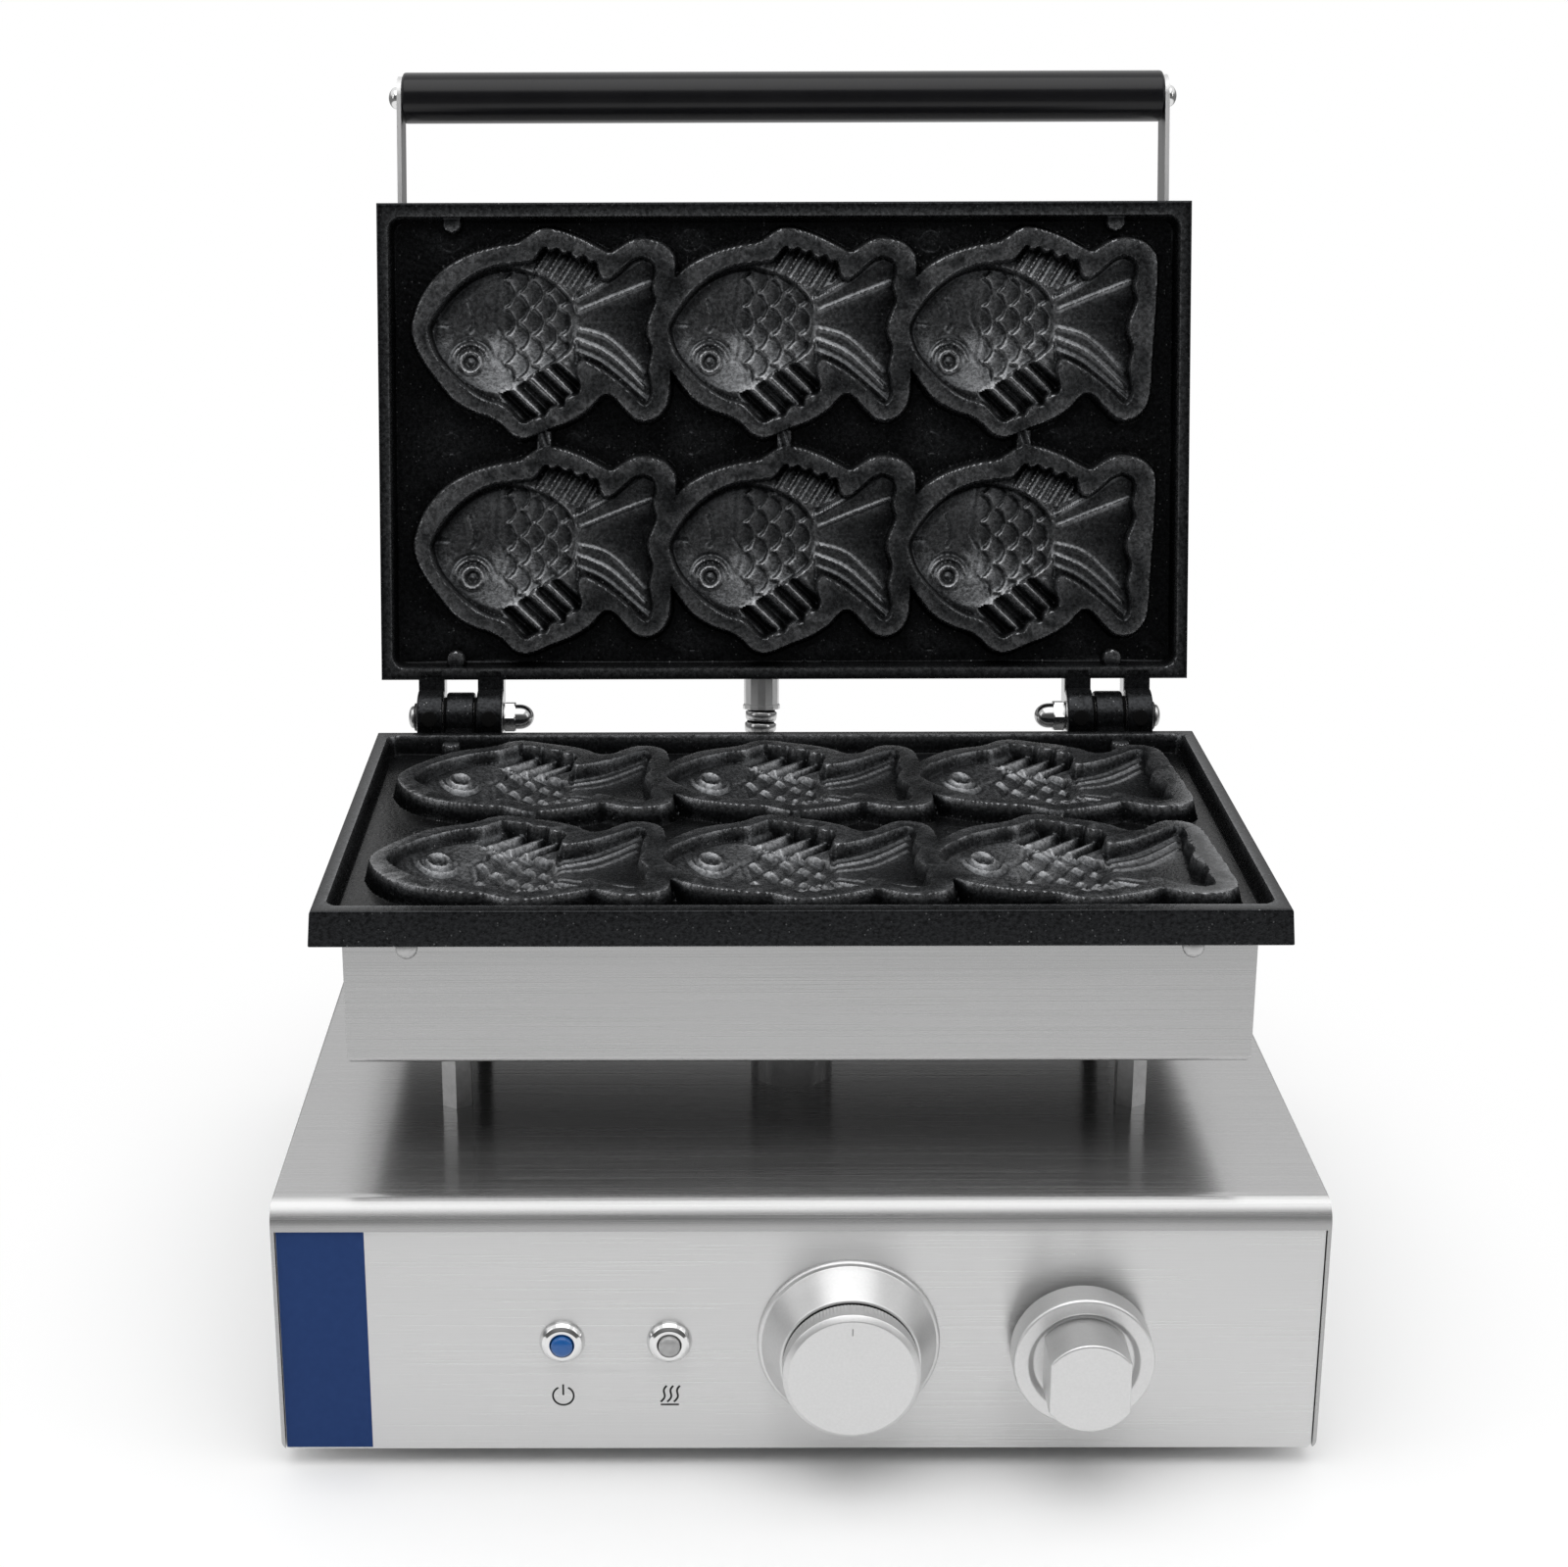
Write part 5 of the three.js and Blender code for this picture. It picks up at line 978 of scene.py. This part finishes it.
PRINT_AT = BASE @ move(0, PANEL_FACE - 0.02, 0)
ICON_Z, ICON_RADIUS, LINE, WAVE_PITCH, WAVE_FOOT, WAVE_HEIGHT = 31.7, 4.1, 0.75, 2.6, 28.9, 7.2
power_ring = arc(POWER_X, ICON_Z, ICON_RADIUS, radians(118), radians(422), 40)
waves = [[(HEAT_X + k * WAVE_PITCH - 1 + 0.75 * sin(t * 5.9) + t * 2.7, WAVE_FOOT + WAVE_HEIGHT * t)
          for t in np.linspace(0, 1, 20)] for k in (-1, 0, 1)]
icons = [(power_ring, LINE), ([(POWER_X, z) for z in (32, 34.4, 36.8)], LINE)]
icons += [(wave, 0.8) for wave in waves] + [([(HEAT_X + x, 27.7) for x in (-3.6, 0, 3.6)], 0.7)]
piece("panel_icons", [(ribbon(*icon), PRINT_AT) for icon in icons], [PRINT], "base", weighted=False)
left, right, low, high = -203.1, -169, 8.7, 104
strip = slab([(left, low), (right, low), (right, high), (left, high)], 0, 0.12, 0.03, 1)
piece("blue_strip", [(strip, BASE @ move(0, PANEL_FACE, 0) @ TO_MINUS_Y)], [BLUE_STRIP], "base",
      weighted=False)
tick = ribbon([(TIMER_X, CONTROL_Z + rise) for rise in (18.5, 20, 21.5)], 0.55)
piece("timer_pointer", [(tick, BASE @ move(0, PANEL_FACE - KNOB_TOP + 0.01, 0))], [FAINT_PRINT],
      "timer_knob", weighted=False)


# Conduit and its fittings
HOSE_SIDES, HOSE_PITCH, HOSE_BORE, HOSE_ROOT = 32, 5.4, 5, 6.5
RIB = ((0, HOSE_ROOT), (0.1, HOSE_ROOT), (0.16, 7.25), (0.24, 7.5), (0.55, 7.5), (0.8, 7.3), (0.9, 6.95),
       (0.97, HOSE_ROOT))
GROOVE_STEPS = 3


def along_path(points, radii_of, sides):
    """A tube; radii_of gives (place along the path, radius) pairs from the length."""
    line = np.array(points, float)
    steps = np.linalg.norm(np.diff(line, axis=0), axis=1)
    total = np.concatenate([[0], np.cumsum(steps)])
    rings = radii_of(total[-1])
    out = []
    side = np.array([1, 0, 0])
    for place, radius in rings:
        middle, ahead, behind = (np.array([np.interp(at, total, line[:, k]) for k in range(3)])
                                 for at in (place, min(place + 1, total[-1]), max(place - 1, 0)))
        way = unit(ahead - behind)
        side = unit(side - way * side.dot(way))
        other = np.cross(way, side)
        for k in range(sides):
            angle = 2 * pi * k / sides
            out.append(tuple(middle + radius * (cos(angle) * side + sin(angle) * other)))
    return out, ring_faces(len(rings), sides)


def ribs(length):
    """Interlocked metal hose: a narrow groove, a rounded edge and a flat crest each pitch."""
    count = round(length / HOSE_PITCH)
    pitch = length / count
    rings = [(0, HOSE_BORE)]
    for i in range(count):
        rings += [(i * pitch + share * pitch, radius) for share, radius in RIB]
    return rings + [(length, HOSE_ROOT), (length, HOSE_BORE)]


ROUTE_END = (FITTING_X, FITTING_Y, BASE_TOP + FITTING_HEIGHT + FIT_GAP)
ROUTE_STRAIGHT, BLEND_START = 15, (FITTING_X, FITTING_Y, 135)
ROUTE = [(-20, -16, 64.7), (-8, -12.5, 49.7), (0.5, -7, 34.7), (0, 0, ROUTE_STRAIGHT), (0, 0, 0)]
sleeve_end = -CASING_REAR + SLEEVE_LENGTH + FIT_GAP
route = [tuple(BASE.inverted() @ (UPPER @ Vector((SLEEVE_X, sleeve_end + way, SLEEVE_Z))))
         for way in (0, ROUTE_STRAIGHT)]
route += [tuple(np.array(ROUTE_END) + p) for p in ROUTE]
hose_points, hose_faces = along_path(spline(route, closed=False), ribs, HOSE_SIDES)
# The groove faces take the near-black look: painted shade in the grooves of the hose.
grooves, crests = [], []
for i, face in enumerate(hose_faces):
    (grooves if i // HOSE_SIDES % len(RIB) < GROOVE_STEPS else crests).append(face)
hose = piece("conduit_hose", [((hose_points, crests), BASE), ((hose_points, grooves), BASE, 1)],
             [TURNED, PAINTED_SHADE], "base", weighted=False, angle=60)
world = hose.matrix_world.copy()
hose.parent = None
hose.matrix_world = world
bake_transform(hose)
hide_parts("flexible_conduit")
sleeve = softened([(5, -1.5), (6.7, -1.5), (6.7, 0.3), (11, 0.3), (11, 2.5), (8.3, 2.5), (8.3, 24.5),
                   (8.8, 24.9), (8.8, SLEEVE_LENGTH), (5, SLEEVE_LENGTH), (5, -1.5)], 0.35)
sleeve_at = UPPER @ move(SLEEVE_X, -CASING_REAR, SLEEVE_Z) @ TO_PLUS_Y
piece("conduit_sleeve", [(lathe(sleeve, 14), sleeve_at)], [BRIGHT], "lid", "conduit_upper_fitting",
      angle=20)
fitting = softened([(5, -6), (7, -6), (7, 0.3), (8.6, 0.3), (8.6, FITTING_HEIGHT), (5, FITTING_HEIGHT),
                    (5, -6)], 0.35)
fitting_nut = hex_nut(24 * cos(pi / 6), 0.3, 5)
fitting_at = BASE @ move(FITTING_X, FITTING_Y, BASE_TOP)
piece("conduit_fitting", [(lathe(fitting, 48), fitting_at), (fitting_nut, fitting_at)], [TURNED],
      "base", "conduit_lower_fitting")


# Studio
def seen_directly(tree):
    """1 for a ray from the camera, a mirror or glass, 0 where the floor only gives light."""
    path = node(tree, "LightPath").outputs
    first = maths(tree, "MAXIMUM", path["Is Camera Ray"], path["Is Glossy Ray"])
    return maths(tree, "MAXIMUM", first, path["Is Transmission Ray"])


def camera_ray(tree):
    return node(tree, "LightPath").outputs["Is Camera Ray"]


def add_floor():
    """Pale near the machine and white further off, with far parts that light it less."""
    half, white_from, white_to, dark_from, dark_to, dark = 30, 0.2, 0.45, 0.8, 1.5, 0.2
    mesh = bpy.data.meshes.new("floor")
    corners = [(x * half, y * half, 0) for x, y in ((-1, -1), (1, -1), (1, 1), (-1, 1))]
    mesh.from_pydata(corners, [], [(0, 1, 2, 3)])
    floor = add_object("floor", mesh)
    mat, tree, shader = tree_of("floor")
    feed(tree, shader, {"Base Color": (0.92, 0.92, 0.92, 1), "Roughness": 0.8, "Specular IOR Level": 0.1})
    reach = node(tree, "VectorMath", {0: coordinates(tree, "Object")}, operation="LENGTH").outputs["Value"]
    share = maths(tree, "MULTIPLY", smooth_range(tree, reach, white_from, white_to), seen_directly(tree))
    level = maths(tree, "MAXIMUM", smooth_range(tree, reach, dark_from, dark_to, 1, dark), camera_ray(tree))
    white = node(tree, "Emission", {"Color": (1, 1, 1, 1), "Strength": level})
    mixed = node(tree, "MixShader", {0: share, 1: shader.outputs["BSDF"], 2: white.outputs["Emission"]})
    feed(tree, tree.nodes["Material Output"], {"Surface": mixed.outputs[0]})
    mesh.materials.append(mat)


def add_lamp(name, place, target, size, power):
    data = bpy.data.lights.new(name, "AREA")
    data.shape = "RECTANGLE"
    data.size, data.size_y = size
    data.energy = power
    lamp = add_object(name, data)
    lamp.visible_camera = False
    lamp.location = place
    lamp.rotation_euler = (Vector(target) - Vector(place)).to_track_quat("-Z", "Y").to_euler()


def add_backdrop():
    """A faint glow in front, and a white wall that metal mirrors darker near the floor."""
    glow_strength, fade, low_from, low_to, low = 0.12, 0.5, 0.1, 0.45, 0.25
    world = bpy.data.worlds.new("studio")
    world.use_nodes = True
    tree = world.node_tree
    glow = tree.nodes["Background"]
    feed(tree, glow, {"Color": (1, 1, 1, 1), "Strength": glow_strength})
    direct = camera_ray(tree)
    way = node(tree, "SeparateXYZ", {"Vector": coordinates(tree, "Generated")}).outputs
    behind = smooth_range(tree, maths(tree, "ADD", way["Y"], way["Z"]), -fade, fade)
    level = maths(tree, "MAXIMUM", smooth_range(tree, way["Z"], low_from, low_to, low, 1), direct)
    white = node(tree, "Background", {"Color": (1, 1, 1, 1), "Strength": level})
    share = maths(tree, "MAXIMUM", behind, direct)
    mixed = node(tree, "MixShader", {0: share, 1: glow.outputs[0], 2: white.outputs[0]})
    feed(tree, tree.nodes["World Output"], {"Surface": mixed.outputs[0]})
    scene.world = world


add_floor()
add_lamp("top_softbox", (0, -0.6, 1.75), (0, -0.6, 0), (1.8, 1.8), 15)
for side, sign in SIDES:
    add_lamp(f"{side}_softbox", (sign * 1.6, -0.7, 1), (0, 0, 0.2), (0.5, 1), 2)
add_backdrop()
scene.view_settings.view_transform = "Standard"
